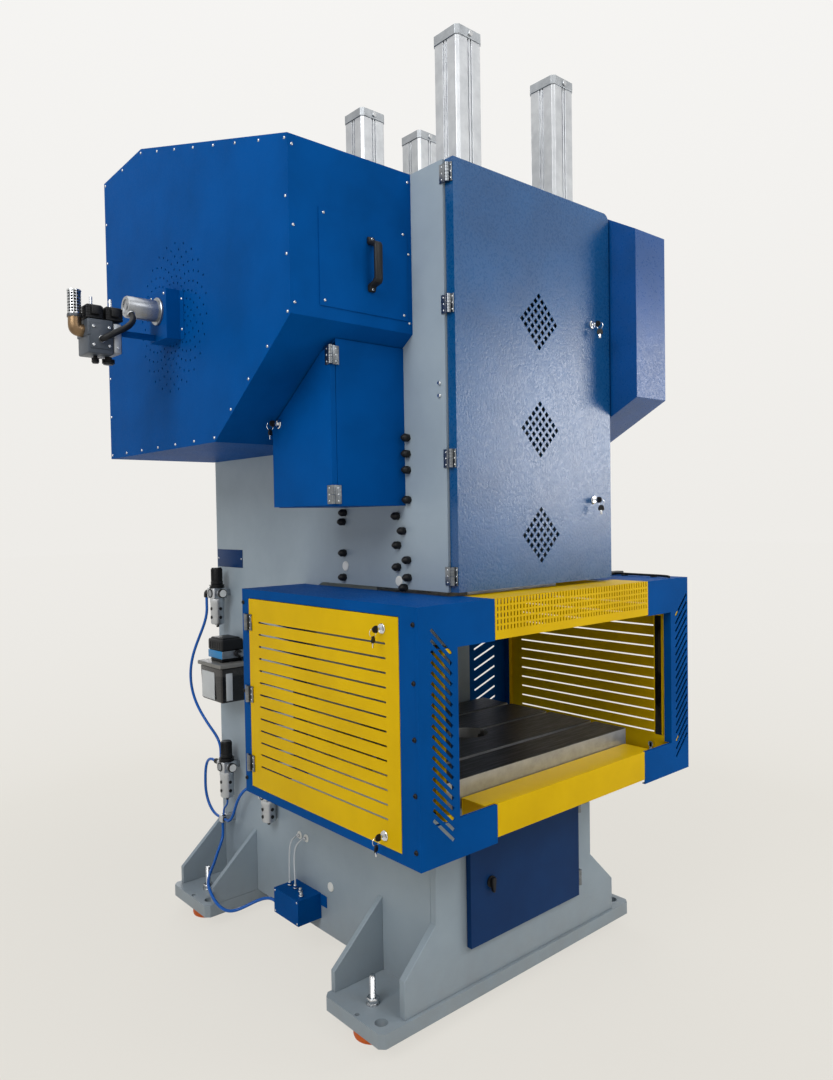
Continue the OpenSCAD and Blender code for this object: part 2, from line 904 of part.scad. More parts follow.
// One corner post with its two arms; reach is where each arm ends.
module front_post(x, inner, reach_top, reach_low, lean) {
    y = [work_y[0], work_y[0] + sheet];
    across = inner - x;
    side = across > 0 ? 1 : -1;
    mid = (x + inner) / 2 + 12;
    slot = [108, 9.5];
    row_high = 526;
    pitch = row_high / (post_slots - 1);
    along_y(y)
        difference() {
            polygon([[x, work_z[0]], [reach_low, work_z[0]], [reach_low, open_z[0]], [inner, open_z[0]],
                [inner, open_z[1]], [reach_top, open_z[1]], [reach_top, work_z[1]], [x, work_z[1]]]);
            for (k = [0:post_slots - 1])
                translate([mid, open_z[0] - 19 + k * pitch])
                    rotate(lean)
                        square(slot, center = true);
        }
    // Folded edges: round the outer corner, and along the opening and the arms.
    block([min(x, x + side * sheet), max(x, x + side * sheet)], [y[1], y[0] + 12],
        [work_z[0], work_z[1] - sheet]);
    block([min(inner, inner - side * sheet), max(inner, inner - side * sheet)], [y[1], y[0] + 30],
        open_z);
    for (row = [[open_z[0] - sheet, reach_low], [open_z[1], reach_top], [work_z[0], reach_low]])
        block([min(x + side * sheet, row[1]), max(x + side * sheet, row[1])], [y[1], y[0] + 12],
            [row[0], row[0] + sheet]);
}

module front_posts() {
    color("#1c5296") {
        front_post(work_x[0], open_x[0], arm_x[0], arm_x[0], -45);
        front_post(work_x[1], open_x[1], arm_x[1] + 29, arm_x[1], 45);
    }
}

// Yellow sheet over the opening, with upright slots in rows and through its fold.
module top_front_guard() {
    x = [arm_x[0] + 1, arm_x[1] + 28];
    z = [open_z[1] + 3, work_z[1]];
    y = [work_y[0], head_front - 5];
    columns = 54;
    rows = 5;
    pitch = (x[1] - x[0] - 24) / (columns - 1);
    color("#dcb800")
        difference() {
            union() {
                block(x, [y[0], y[0] + sheet], z);
                block(x, y, [z[1] - sheet, z[1]]);
                block(x, [y[0], y[0] + 40], [z[0], z[0] + sheet]);
                block([arm_x[1] + 28 - sheet, arm_x[1] + 28], y, [z[1] - 40, z[1]]);
            }
            for (column = [0:columns - 1], row = [0:rows - 1])
                block([-2.7, 2.7] + [1, 1] * (x[0] + 12 + column * pitch),
                    [y[0] - 1, y[0] + (row == 0 ? 14 : sheet + 1)],
                    [-6.5, row == 0 ? 20 : 6.5] + [1, 1] * (z[1] - 12 - row * 19));
        }
}

module lower_front_bar() {
    x = [arm_x[0] + 1, arm_x[1] - 1];
    y = [work_y[0], bolster_front - 5];
    z = [work_z[0] + 17, open_z[0]];
    color("#dcb800") {
        block(x, [y[0], y[0] + sheet], [z[0], z[1]]);
        block([x[0] - 40, x[1] + 40], [y[0] + 14, y[1]], [z[1], z[1] + sheet]);
        block(x, [y[0], y[0] + 14], [z[1], z[1] + sheet]);
        block([x[0] - 40, x[1] + 40], [y[1] - sheet, y[1]], [z[1] - 60, z[1]]);
        block(x, [y[0] + sheet, y[0] + 30], [z[0], z[0] + sheet]);
    }
}

// Light curtain: a black optic bar in a yellow channel, with a foot at each end.
module light_curtain() {
    z = [796, 1248];
    y = [-882, -846];
    x = [open_x[0] - 52, open_x[0] - 10];
    color("#dcb800")
        difference() {
            block(x, y, z);
            block([x[0] + 4, x[1] + 1], y + [4, -4], z + [-1, 1]);
        }
    color("#151618")
        block([x[0] + 4, x[1] - 2], y + [4, -4], z);
    color("#8f959c")
        for (foot = [[z[0] - 17, z[0]], [z[1], z[1] + 16]])
            block(x, [work_y[0] + sheet, y[1]], foot);
}

module light_curtains() {
    light_curtain();
    translate([open_x[1] + open_x[0], 0, 0])
        mirror([1, 0, 0])
            light_curtain();
}

// ---- Air, oil and cables on the left side ----

reg_high = [-450, 600];
reg_low = [-450, 550];
filter_at = [-430, 250];
box_x = [-500, -frame_half];
box_y = [-58, 106];
box_z = [142, 236];

// Body with side ports, a bowl under it and an arm to the side plate.
module air_unit(at, low, body, top, cap) {
    color("#a9adb2") {
        rod_z([low, body + 5], at, 30);
        block([at[0] - 31, at[0] + 31], [at[1] - 31, at[1] + 31], [body, top]);
        block([at[0] + 31, -frame_half], [at[1] - 18, at[1] + 18], [body + 8, top - 8]);
        rod_y([at[1] - 40, at[1] + 40], [at[0], (body + top) / 2], 17);
    }
    color("#232427")
        rod_z([top, top + cap], at, 32);
}

module regulators() {
    difference() {
        air_unit(reg_high, 1186, 1300, 1345, 12);
        rod_z([1300, 1360], reg_high, 8.05);
    }
    difference() {
        air_unit(reg_low, 458, 572, 616, 12);
        rod_z([580, 640], reg_low, 8.05);
    }
    air_unit(filter_at, 428, 520, 566, 10);
    // Elbow for the hose at the upper regulator, tee at the lower one, and the branch piece.
    color("#8f959c") {
        rod_y([reg_high[1] + 40, reg_high[1] + 107], [reg_high[0], 1322], 11);
        rod_z([1298, 1322], [reg_high[0], reg_high[1] + 96], 11);
        rod_y([reg_low[1] + 40, reg_low[1] + 96], [reg_low[0], 594], 11);
        block([-462, -frame_half], [578, 606], [342, 372]);
    }
}

module regulator_knob(at, low, high) {
    color("#1c1d20") {
        rod_z([low + gap, high], at, 25);
        rod_z([low - 20, low + gap], at, 8);
    }
}

module regulator_knob_high() {
    regulator_knob(reg_high, 1357, 1430);
}

module regulator_knob_low() {
    regulator_knob(reg_low, 628, 699);
}

oil_x = [-527, -frame_half - 6];
oil_y = [433, 617];

module oil_tank() {
    color("#5b5f63") {
        block(oil_x, oil_y, [884, 1028]);
        block([oil_x[0] - 8, oil_x[1]], [oil_y[0] - 8, oil_y[1] + 8], [1028, 1044]);
        block([oil_x[1], -frame_half], [oil_y[0] + 20, oil_y[1] - 20], [900, 1040]);
    }
}

module oil_pump() {
    x = [-510, -410];
    y = [455, 577];
    color("#1b1c1f") {
        block(x, y, [1094, 1132]);
        block(x + [12, -12], y + [14, -14], [1132, 1146]);
        block([x[0] + 10, x[1]], [y[0] + 20, y[1] - 6], [1044, 1062]);
    }
    color("#2f86c0")
        block(x, y, [1062, 1094]);
}

module valve_box() {
    color("#1c5296") {
        block(box_x, box_y, box_z);
        block([box_x[1] - sheet, box_x[1]], [box_y[0] - 38, box_y[0]], [192, 234]);
    }
    color("#c9cdd2")
        for (y = [36, 74])
            rod_z([box_z[1], box_z[1] + 14], [-450, y], 7);
}

hose_a = [[-450, 696, 1297.7], [-450, 696, 1269.1], [-450.2, 696.4, 1240.6],
    [-452.8, 700.4, 1212.5], [-457.4, 707.6, 1185.2], [-463.2, 716.7, 1158.8],
    [-469.5, 726.6, 1132.7], [-476, 736.5, 1106.8], [-482.1, 745.9, 1080.5],
    [-487.7, 754.2, 1053.7], [-492.2, 760.9, 1026.4], [-495.6, 765.6, 998.4], [-497.5, 767.9, 970],
    [-497.9, 767.8, 941.4], [-496.7, 765.7, 913], [-493.6, 761.6, 884.9], [-489.1, 755.1, 857.5],
    [-483.3, 745.8, 831.1], [-476.9, 733.5, 806.2], [-470.6, 717.9, 783.2], [-465.2, 699.2, 762.3],
    [-461.3, 677.9, 743.7], [-457.8, 655.2, 726.6], [-454.6, 633, 708.9], [-451.9, 613.7, 688.1],
    [-450.3, 601.9, 662.4], [-450, 600, 634], [-450, 600, 605.4]];
hose_b = [[-450, 646.4, 594], [-450, 665.4, 594], [-450, 684.4, 593.3], [-450, 702.8, 588.7],
    [-450, 718.9, 578.8], [-450, 731, 564.2], [-450, 738.9, 547], [-450, 743.7, 528.6],
    [-450, 746.3, 509.8], [-450, 747.6, 490.8], [-450, 748, 471.8], [-450, 746.8, 452.8],
    [-450, 742.8, 434.3], [-450, 735.7, 416.7], [-450, 725.7, 400.5], [-450, 713, 386.4],
    [-450, 698, 374.8], [-450, 681.2, 365.9], [-450, 663.2, 360], [-450, 644.4, 357.3],
    [-450, 625.4, 357], [-450, 606.4, 357]];
hose_c = [[-450, 550, 457.4], [-450, 550, 448.5], [-450, 550.6, 439.6], [-450, 553.1, 431.1],
    [-450, 557.9, 423.6], [-450, 564.5, 417.6], [-450, 571.5, 412.2], [-450, 578.1, 406.2],
    [-450, 582.9, 398.7], [-450, 585.4, 390.2], [-450, 586, 381.3], [-450, 586, 372.4]];
hose_d = [[-450, 596, 341.6], [-450, 596, 321], [-450, 596, 300.5], [-453.4, 593.7, 280.4],
    [-462.4, 587.5, 263.1], [-474.4, 578.6, 249], [-487.7, 568.2, 237.2], [-501, 556.6, 226.7],
    [-513.8, 544.1, 216.5], [-526.9, 531, 207.6], [-540.6, 517.4, 200.5], [-554.4, 503.4, 194.6],
    [-567.9, 488.7, 189.3], [-580.6, 473.4, 184.2], [-592.1, 457.2, 178.9], [-601.9, 440.1, 172.9],
    [-609, 422.3, 165.7], [-613, 404, 157.1], [-615.2, 385.8, 147.9], [-616.2, 367.3, 138.9],
    [-615.7, 348.5, 130.5], [-613.6, 329.3, 123.4], [-609.8, 309.8, 118.4], [-604.1, 290.2, 116],
    [-594.8, 271.9, 116.8], [-581.3, 257, 120.7], [-565.6, 245.2, 126.7], [-549.1, 235.1, 133.8],
    [-532.7, 225.3, 141.4], [-516.8, 214.8, 149.1], [-502.3, 202.1, 156.3], [-490.6, 186.4, 162.4],
    [-483.1, 167.8, 166.4], [-480.1, 147.5, 167.9], [-480, 127, 168], [-480, 106.4, 168]];
hose_e = [[-450, 577.6, 357], [-450, 561.3, 357], [-449.9, 545.3, 359.4], [-449.4, 530.9, 366.9],
    [-448.8, 519.2, 378.1], [-448.2, 509.8, 391.3], [-447.5, 501.9, 405.5], [-446.9, 494.6, 420],
    [-446.4, 487.3, 434.5], [-446, 479.5, 448.8], [-445.3, 471, 462.7], [-444.1, 461.9, 476.1],
    [-442.5, 452, 488.9], [-440.5, 441.1, 500.8], [-438.4, 429.2, 511.6], [-436.3, 416.1, 521],
    [-434.3, 402, 528.9], [-432.5, 387, 535], [-431.2, 371.4, 539.3], [-430.4, 355.4, 541.9],
    [-430, 339.2, 542.9], [-430, 322.9, 543], [-430, 306.7, 543], [-430, 290.4, 543]];
tube_e = [[-397.4, 78, 416], [-408.3, 78, 415.9], [-419, 78.5, 414.2], [-428.3, 79.8, 408.9],
    [-434.5, 81.5, 400.1], [-437.6, 83.2, 389.9], [-439.2, 84.5, 379.2], [-439.8, 85.6, 368.4],
    [-440.1, 86.2, 357.5], [-440.9, 85.9, 346.7], [-442.3, 84.5, 336], [-444, 82.4, 325.4],
    [-445.9, 79.9, 315], [-447.5, 77.6, 304.5], [-448.9, 75.7, 293.8], [-449.7, 74.5, 283],
    [-450, 74, 272.2], [-450, 74, 261.3], [-450, 74, 250.4]];
tube_f = [[-397.4, 34, 416], [-408.4, 34, 415.9], [-419.2, 35, 414.2], [-428.6, 37.4, 409.1],
    [-435, 40.8, 400.8], [-438.5, 44, 390.9], [-440.4, 46.7, 380.4], [-441.4, 48.7, 369.6],
    [-442, 49.9, 358.6], [-442.6, 50.2, 347.6], [-443.7, 49.1, 336.7], [-445.1, 46.8, 326],
    [-446.6, 43.7, 315.6], [-448, 40.7, 305.1], [-449.1, 38.2, 294.4], [-449.7, 36.6, 283.5],
    [-450, 36, 272.5], [-450, 36, 261.4], [-450, 36, 250.4]];
hub_lead = [[-1005, 90.2, 2319.2], [-1005, 80.5, 2309.5], [-1006.5, 70.7, 2300],
    [-1010.6, 61.2, 2291], [-1016.5, 52.3, 2282.4], [-1023.8, 44.2, 2274.2],
    [-1032.4, 37.1, 2266.2], [-1042.2, 31.3, 2258.6], [-1053.1, 27.3, 2251.2],
    [-1064.7, 25.5, 2244.2], [-1076.6, 25, 2237.3], [-1088.4, 25.6, 2230.4], [-1100, 28.1, 2223.5],
    [-1110.5, 34.1, 2217.3], [-1115.9, 45.9, 2214], [-1116, 59.6, 2214]];

module air_hoses() {
    color("#1d5fb4") {
        for (line = [hose_a, hose_b, hose_e])
            tube(route(line, 2), 6, [1, 0, 0]);
        tube(route(hose_c, 2), 4, [1, 0, 0]);
        tube(route(hose_d, 2), 6, [0.3, 0.1, 1]);
    }
    color("#c8ccd0") {
        tube(route(tube_e, 2), 3, [0, 1, 0]);
        tube(route(tube_f, 2), 3, [0, 1, 0]);
    }
    color("#17181a")
        tube(route(hub_lead, 2), 10, [0.2, 1, 0.2]);
}

// Black plugs and cable glands down the side plate, given as [Y, Z].
gland_spots = [[-597, 1883], [-597, 1832], [-597, 1781], [-597, 1686], [-540, 1635],
    [-569, 1587], [-543, 1541], [-591, 1494], [-541, 1470], [-592, 1438], [-573, 1405],
    [-253, 1650], [-245, 1618], [-248, 1509], [-245, 1424]];

module cable_glands() {
    color("#17181a")
        for (at = gland_spots) {
            rod_x([-frame_half - 16, -frame_half], at, 13);
            rod_x([-frame_half - 28, -frame_half - 16], at, 9);
        }
}

// ---- Ram and drive ----

// The ram: a hollow box with a clamping face below, a ball seat and a head that carries the rods.
module ram() {
    x = [-ram_half, ram_half];
    y = [ram_front, ram_back];
    head_y = [front_cyl[1] - 42, rear_cyl[1] + 30];
    color("#7b8188")
        difference() {
            union() {
                block(x, y, [ram_low, head_z]);
                block([-front_cyl[0] - 40, front_cyl[0] + 40], head_y, [head_z, head_z + 60]);
            }
            // Space for the connecting rod's ball and its sideways swing.
            block([-130, 130], [ram_y - 130, ram_y + 130], [ball_z - 85, head_z + 61]);
            // Clearance behind the box, so that the casting is hollow.
            block([-180, 180], [ram_y - 190, ram_y + 190], [ram_low + 60, ball_z - 110]);
            rod_z([ram_low - 1, ram_low + 50], [0, ram_y], 25);
            for (side = [-1, 1], end = [-1, 1])
                rod_z([ram_low - 1, ram_low + 36], [side * 150, ram_y + end * 120], 9);
        }
}

module ram_rods() {
    foot = head_z + 60;
    piston = cyl_top - cap_t - 50;
    color("#c9cdd2")
        for (at = cylinder_spots()) {
            rod_z([foot, piston + 30], at, rod_r);
            rod_z([piston, piston + 30], at, 45);
        }
}

module crankshaft() {
    color("#8b9097") {
        rod_x([-frame_half - 4, 548], [ram_y, crank_z], 90);
        rod_x([-125, 125], [ram_y, crank_z + eccentric], 150);
    }
}

// Half the angle that an involute tooth fills at a radius.
function involute(a) = tan(a) * 180 / PI - a;
function tooth_half(teeth, r) = let (base = gear_module * teeth / 2 * cos(20))
    90 / teeth + involute(20) - involute(acos(min(1, base / r))) - 2.4 / teeth;

function gear_outline(teeth, turn) = let (pitch_r = gear_module * teeth / 2)
    [for (k = [0:teeth - 1], step = [0:7])
        let (rise = step < 4 ? step : 7 - step, r = pitch_r + gear_module * [-1.2, -0.5, 0.3, 0.96][rise],
            side = step < 4 ? -1 : 1, a = turn + k * 360 / teeth + side * tooth_half(teeth, r))
            r * [cos(a), sin(a)]];

module crank_gear() {
    color("#787e85")
        along_x([430, 530])
            translate([ram_y, crank_z])
                difference() {
                    polygon(gear_outline(gear_teeth, 0));
                    circle(90);
                    for (turn = [0:60:300])
                        rotate(turn + 30)
                            translate([265, 0])
                                circle(75);
                }
}

// The rod: a ring on the eccentric, a shank and a ball.
module conrod() {
    at = [ram_y, crank_z + eccentric];
    color("#6f757c") {
        difference() {
            union() {
                rod_x([-100, 100], at, 205);
                block([-58, 58], [ram_y - 66, ram_y + 66], [ball_z + 20, at[1] - 180]);
            }
            rod_x([-101, 101], at, 150.05);
        }
        translate([0, ram_y, ball_z])
            sphere(r = 62);
    }
}

module pinion_shaft() {
    color("#8b9097") {
        rod_x([guard_x[0] + 12, 545], [shaft_y, crank_z], 60);
        rod_x([guard_x[0] - 108, guard_x[0] + 12], [shaft_y, crank_z], 21);
        along_x([424, 536])
            translate([shaft_y, crank_z])
                polygon(gear_outline(pinion_teeth, 180 / pinion_teeth));
    }
}

// The plate pack between flywheel and shaft: housing, flange bolts and a splined hub.
module clutch_brake() {
    x = [fly_x[0] - 118, fly_x[0] - 8];
    at = [shaft_y, crank_z];
    color("#55595f")
        difference() {
            union() {
                rod_x([x[0], x[0] + 30], at, 150);
                rod_x([x[0] + 30, x[1] - 25], at, 185);
                rod_x([x[1] - 25, x[1]], at, 205);
                for (turn = [0:45:315])
                    rod_x([x[0] + 10, x[0] + 44], at + 168 * [cos(turn), sin(turn)], 11);
            }
            rod_x([x[0] - 1, x[1] + 1], at, 60);
        }
}

module flywheel() {
    at = [shaft_y, crank_z];
    color("#4c5056")
        difference() {
            union() {
                rod_x(fly_x, at, fly_r);
                rod_x([fly_x[1], fly_x[1] + 60], at, 110);
            }
            for (x = [[fly_x[0] - 1, fly_x[0] + 45], [fly_x[1] - 45, fly_x[1] + 1]])
                difference() {
                    rod_x(x, at, fly_r - 70);
                    rod_x(x + [-1, 1], at, 110);
                }
            for (turn = [0:60:300])
                rod_x(fly_x + [-1, 1], at + 240 * [cos(turn), sin(turn)], 60);
            rod_x([fly_x[0] - 2, fly_x[1] + 62], at, 60.05);
        }
}

module motor_pulley() {
    at = [motor_y, motor_z];
    color("#4c5056")
        difference() {
            union() {
                rod_x(fly_x, at, pulley_r);
                rod_x([fly_x[0] - 8, -264], at, 24);
            }
            difference() {
                rod_x([fly_x[0] - 9, fly_x[0] + 30], at, pulley_r - 18);
                rod_x([fly_x[0] - 10, fly_x[0] + 31], at, 34);
            }
        }
}

side_plate_left();
side_plate_right();
frame_webs();
pedestal_plate();
base_bars();
foot_gussets();
levelling_pads();
jack_screws();
bolster();
shaft_bearings();
ram_guides();
cylinder_barrels();
cylinder_caps();
flywheel_guard();
guard_hatch();
hatch_handle();
hub_bracket();
rotary_union();
valve_block();
valve_silencer();
gear_cover();
drive_motor();
v_belts();
side_cabinet();
work_guard_frame();
front_posts();
top_front_guard();
lower_front_bar();
light_curtains();
hinge_leaves();
regulators();
oil_pump();
oil_tank();
valve_box();
air_hoses();
cable_glands();
ram();
ram_rods();
crankshaft();
crank_gear();
conrod();
pinion_shaft();
clutch_brake();
flywheel();
motor_pulley();
upper_door();
cabinet_door();
pedestal_door();
side_door_left();
side_door_right();
upper_door_lock_high();
upper_door_lock_low();
left_door_lock_high();
left_door_lock_low();
right_door_lock_high();
right_door_lock_low();
cabinet_door_lock();
pedestal_door_lock();
regulator_knob_high();
regulator_knob_low();
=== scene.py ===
"""Looks of a geared C-frame eccentric press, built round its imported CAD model.
X runs across the machine, -Y is the operator's side, Z is up from the floor; metres."""
import math

import bmesh
import bpy
from mathutils import Matrix, Vector


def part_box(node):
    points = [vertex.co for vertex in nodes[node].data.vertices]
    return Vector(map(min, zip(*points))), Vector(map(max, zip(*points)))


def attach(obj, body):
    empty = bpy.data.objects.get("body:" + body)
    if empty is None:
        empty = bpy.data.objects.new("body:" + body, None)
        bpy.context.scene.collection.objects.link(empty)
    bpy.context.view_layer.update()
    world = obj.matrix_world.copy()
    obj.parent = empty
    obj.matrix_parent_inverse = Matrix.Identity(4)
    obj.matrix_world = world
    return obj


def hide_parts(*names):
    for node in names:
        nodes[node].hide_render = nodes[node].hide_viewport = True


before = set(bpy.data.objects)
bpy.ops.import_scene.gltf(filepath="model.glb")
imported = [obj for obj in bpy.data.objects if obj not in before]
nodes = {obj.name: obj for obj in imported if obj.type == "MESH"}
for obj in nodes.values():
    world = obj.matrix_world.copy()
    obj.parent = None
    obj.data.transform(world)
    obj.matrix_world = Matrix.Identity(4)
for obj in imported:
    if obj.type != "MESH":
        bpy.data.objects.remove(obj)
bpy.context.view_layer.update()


def in_scene(name, data):
    """An object with the given data, linked to the scene."""
    made = bpy.data.objects.new(name, data)
    bpy.context.scene.collection.objects.link(made)
    return made


def shift(x, y, z):
    """A move by three distances."""
    return Matrix.Translation((x, y, z))


def turn(degrees, axis="Z"):
    """A turn about an axis."""
    return Matrix.Rotation(math.radians(degrees), 4, axis)


# ---- Camera: at a standing person's eyes, turned towards the left front corner ----

CAMERA_AT = (-2.1119, -2.5817, 1.6325)
CAMERA_YAW, CAMERA_PITCH, CAMERA_ROLL = 41.2907, -1.6334, -0.9369
view = bpy.data.cameras.new("camera")
view.lens = 27.42
view.sensor_width = 36
view.clip_end = 60
camera = in_scene("camera", view)
camera.matrix_world = (shift(*CAMERA_AT) @ turn(-CAMERA_YAW) @ turn(90 + CAMERA_PITCH, "X")
                       @ turn(CAMERA_ROLL))
bpy.context.scene.camera = camera

# ---- Materials ----


def colour(code):
    """An sRGB hex colour as linear RGBA."""
    channels = [int(code[i:i + 2], 16) / 255 for i in (1, 3, 5)]
    return [c / 12.92 if c <= 0.04045 else ((c + 0.055) / 1.055) ** 2.4 for c in channels] + [1]


def node(tree, kind, inputs=None, output=0, **settings):
    """Adds a node with its settings, and gives one of its outputs; an input is a value or
    another node's output."""
    made = tree.nodes.new(kind)
    for key, value in settings.items():
        setattr(made, key, value)
    for key, value in (inputs or {}).items():
        if isinstance(value, bpy.types.NodeSocket):
            tree.links.new(value, made.inputs[key])
        else:
            made.inputs[key].default_value = value
    return made.outputs[output] if made.outputs else None


def material(name):
    """A new material and its tree, shader and Object coordinates."""
    made = bpy.data.materials.new(name)
    made.use_nodes = True
    tree = made.node_tree
    place = node(tree, "ShaderNodeTexCoord", output="Object")
    return made, tree, tree.nodes["Principled BSDF"], place


def mottled(tree, place, light, dark, patch_mm, detail=4.0, fine=0.6, bounds=(0.35, 0.65)):
    """A colour that drifts between two shades over patches of a given size."""
    noise = node(tree, "ShaderNodeTexNoise", {
        "Vector": place, "Scale": 1000 / patch_mm, "Detail": detail, "Roughness": fine})
    shade = node(tree, "ShaderNodeValToRGB", {"Fac": noise})
    for stop, position, code in zip(shade.node.color_ramp.elements, bounds, (dark, light)):
        stop.position = position
        stop.color = colour(code)
    return shade


def rising(tree, place, low, high, start=0.0, end=1.0):
    """A factor that goes from start to end between two heights."""
    return node(tree, "ShaderNodeMapRange", {
        "Value": node(tree, "ShaderNodeSeparateXYZ", {"Vector": place}, "Z"),
        "From Min": low, "From Max": high, "To Min": start, "To Max": end})


def grained(name, tone, grain_mm, height_mm, low, high, constants, strength=1.0,
            stretch=(1, 1, 1)):
    """A material coloured by tone(tree, place), with a grain that bumps it and moves its
    roughness between two values; stretch draws the grain out along an axis."""
    made, tree, shader, place = material(name)
    grain = node(tree, "ShaderNodeTexNoise", {
        "Vector": node(tree, "ShaderNodeMapping", {"Vector": place, "Scale": stretch}),
        "Scale": 1000 / grain_mm, "Detail": 3.0})
    bump = node(tree, "ShaderNodeBump", {
        "Height": grain, "Strength": strength, "Distance": height_mm / 1000})
    rough = node(tree, "ShaderNodeMapRange", {
        "Value": grain, "From Min": 0.3, "From Max": 0.7, "To Min": low, "To Max": high})
    for socket, source in (("Base Color", tone(tree, place)), ("Normal", bump),
                           ("Roughness", rough)):
        tree.links.new(source, shader.inputs[socket])
    for socket, value in constants.items():
        shader.inputs[socket].default_value = value
    return made


def powder_coat(name, light, dark, grain_mm, height_mm, low, high, gloss=0.2):
    """A sprayed or moulded skin: a fine peel that breaks a highlight into specks."""
    return grained(name, lambda tree, place: mottled(tree, place, light, dark, 240),
                   grain_mm, height_mm, low, high, {"IOR": 1.5, "Specular IOR Level": gloss})


def plain_metal(name, light, dark, grain_mm, height_mm, low, high):
    """Bare metal with a machined or cast grain."""
    return grained(name, lambda tree, place: mottled(tree, place, light, dark, 45),
                   grain_mm, height_mm, low, high, {"Metallic": 1.0}, 0.6)


def dusty_grey(tree, place):
    """Rolled grey enamel; dust fades out over the lowest 300 mm, in patches of about 60 mm."""
    patches = node(tree, "ShaderNodeTexNoise", {"Vector": place, "Scale": 1000 / 60, "Detail": 6.0})
    amount = node(tree, "ShaderNodeMath", {0: rising(tree, place, 0.05, 0.3, 0.6, 0.0), 1: patches},
                  operation="MULTIPLY")
    return node(tree, "ShaderNodeMixRGB", {
        "Fac": amount, "Color1": mottled(tree, place, "#98a6b0", "#8f9da8", 310),
        "Color2": colour("#8c8b87")})


def oil_in_tank(tree, place):
    """Paler where the tank holds air, nearly black below the oil, with a film of 8 mm between."""
    return node(tree, "ShaderNodeMixRGB", {
        "Fac": rising(tree, place, OIL_LEVEL, OIL_LEVEL + 0.008), "Color1": colour("#0d0c0c"),
        "Color2": colour("#33312f")})


def painted_reflection_face(tree, place):
    """Sides painted bright and the bolster's face painted dark: a painted reflection of the bright
    room on the sides and of the dark inside of the press on the face, with scratches on the face.
    """
    # Scratches along X, 9 mm apart and 150 mm long; the turn only moves their pattern.
    scratched = node(tree, "ShaderNodeMapping", {
        "Vector": place, "Scale": (0.06, 1, 1), "Rotation": (0, 0, 0.35)})
    return node(tree, "ShaderNodeMixRGB", {
        "Fac": rising(tree, place, BOLSTER_TOP - 0.002, BOLSTER_TOP - 0.0008),
        "Color1": mottled(tree, place, "#adafb0", "#9b9d9e", 45),
        "Color2": mottled(tree, scratched, "#64666a", "#35373a", 9, 5.0, 0.5, (0.42, 0.7))})


# Heights above the floor, in metres.
OIL_LEVEL, BOLSTER_TOP = 0.99, 0.837
# Textured powder coat in blue, on every sheet cover: matt, with fine specks where light glances.
coat_blue = powder_coat("powder_coat_blue", "#014b91", "#014484", 5.0, 0.16, 0.4, 0.56, 0.02)
# The same powder on the front door and the gear cover, laid thicker: clouded, broken highlights.
# Its 2 mm peel is drawn 8 mm wide on both, because a finer one doesn't show at this distance.
coat_door = powder_coat("powder_coat_blue_coarse", "#034c82", "#034476", 8.0, 0.7, 0.2, 0.4, 0.56)
coat_gear = powder_coat("powder_coat_blue_gear", "#01478a", "#01407b", 8.0, 0.5, 0.24, 0.42, 0.34)
# Smooth satin coats: an even, quiet navy, and a warm yellow that hardly shines.
coat_navy = powder_coat("powder_coat_navy", "#0b3566", "#092e5b", 4.0, 0.12, 0.3, 0.42, 0.08)
coat_yellow = powder_coat("powder_coat_yellow", "#dab300", "#d0a900", 3.4, 0.07, 0.36, 0.48, 0.06)
# Enamels: the frame's grey, rolled on, is uneven and dusty; the others are cleaner and shine.
enamel_grey = grained("machine_enamel_grey", dusty_grey, 11.0, 0.22, 0.34, 0.46,
                      {"Specular IOR Level": 0.25})
enamel_motor = powder_coat("motor_enamel_blue", "#1d5088", "#174478", 5.0, 0.15, 0.3, 0.4, 0.15)
valve_paint = powder_coat("valve_enamel", "#474e57", "#3b424a", 3.0, 0.08, 0.35, 0.5, 0.3)
enamel_light_blue = powder_coat("pump_enamel_blue", "#2f86c0", "#2678b0", 3.0, 0.03, 0.3, 0.4)
dial_white = powder_coat("dial_enamel", "#e2e4e2", "#dadcda", 4.0, 0.01, 0.3, 0.4)
# Cast polyurethane: a saturated orange with a waxy, blurred shine.
pad_orange = powder_coat("polyurethane_orange", "#dd6a2c", "#c95a20", 2.0, 0.05, 0.45, 0.6)
# The bolster: cutter marks along X, drawn 1.6 mm apart because finer ones don't show. Its colour
# carries a painted reflection: bright sides and a dark face.
ground_steel = grained("ground_steel", painted_reflection_face, 1.6, 0.012, 0.3, 0.46, {"Metallic": 0.85},
                       0.6, (0.05, 1, 1))
# Turned steel: fine tool marks that spread a highlight into a soft band.
turned_steel = plain_metal("turned_steel", "#a4a7ab", "#8e9195", 1.2, 0.02, 0.25, 0.4)
# Plated steel: zinc is bright with soft reflections, and polished chrome mirrors the room.
zinc_plate = plain_metal("zinc_plate", "#d0d2d4", "#bcbfc2", 6.0, 0.02, 0.18, 0.3)
chrome_plate = plain_metal("chrome_plate", "#dfe1e3", "#d2d4d7", 8.0, 0.01, 0.08, 0.16)
# Hinge leaves, pressed from bright steel and dulled by handling.
hinge_steel = plain_metal("hinge_steel", "#868a8e", "#696d71", 3.0, 0.03, 0.26, 0.42)
# Aluminium: drawn and anodised it has a silky even sheen, and die cast it is duller and pitted.
anodised = plain_metal("anodised_aluminium", "#c2c5c8", "#b3b6ba", 1.4, 0.02, 0.34, 0.46)
die_cast = plain_metal("die_cast_aluminium", "#a4a8ac", "#94989c", 2.0, 0.06, 0.4, 0.55)
# Turned bearing bronze, warm and soft, and brass gone brown with age and oil.
bronze = plain_metal("bearing_bronze", "#b98d4c", "#a67c3e", 2.0, 0.02, 0.3, 0.42)
brass = plain_metal("turned_brass", "#8f775a", "#75604a", 1.5, 0.02, 0.3, 0.45)
# Sand-cast iron: dark, rough grain that scatters light.
cast_iron = plain_metal("cast_iron", "#5d6064", "#4b4e52", 3.0, 0.15, 0.5, 0.65)
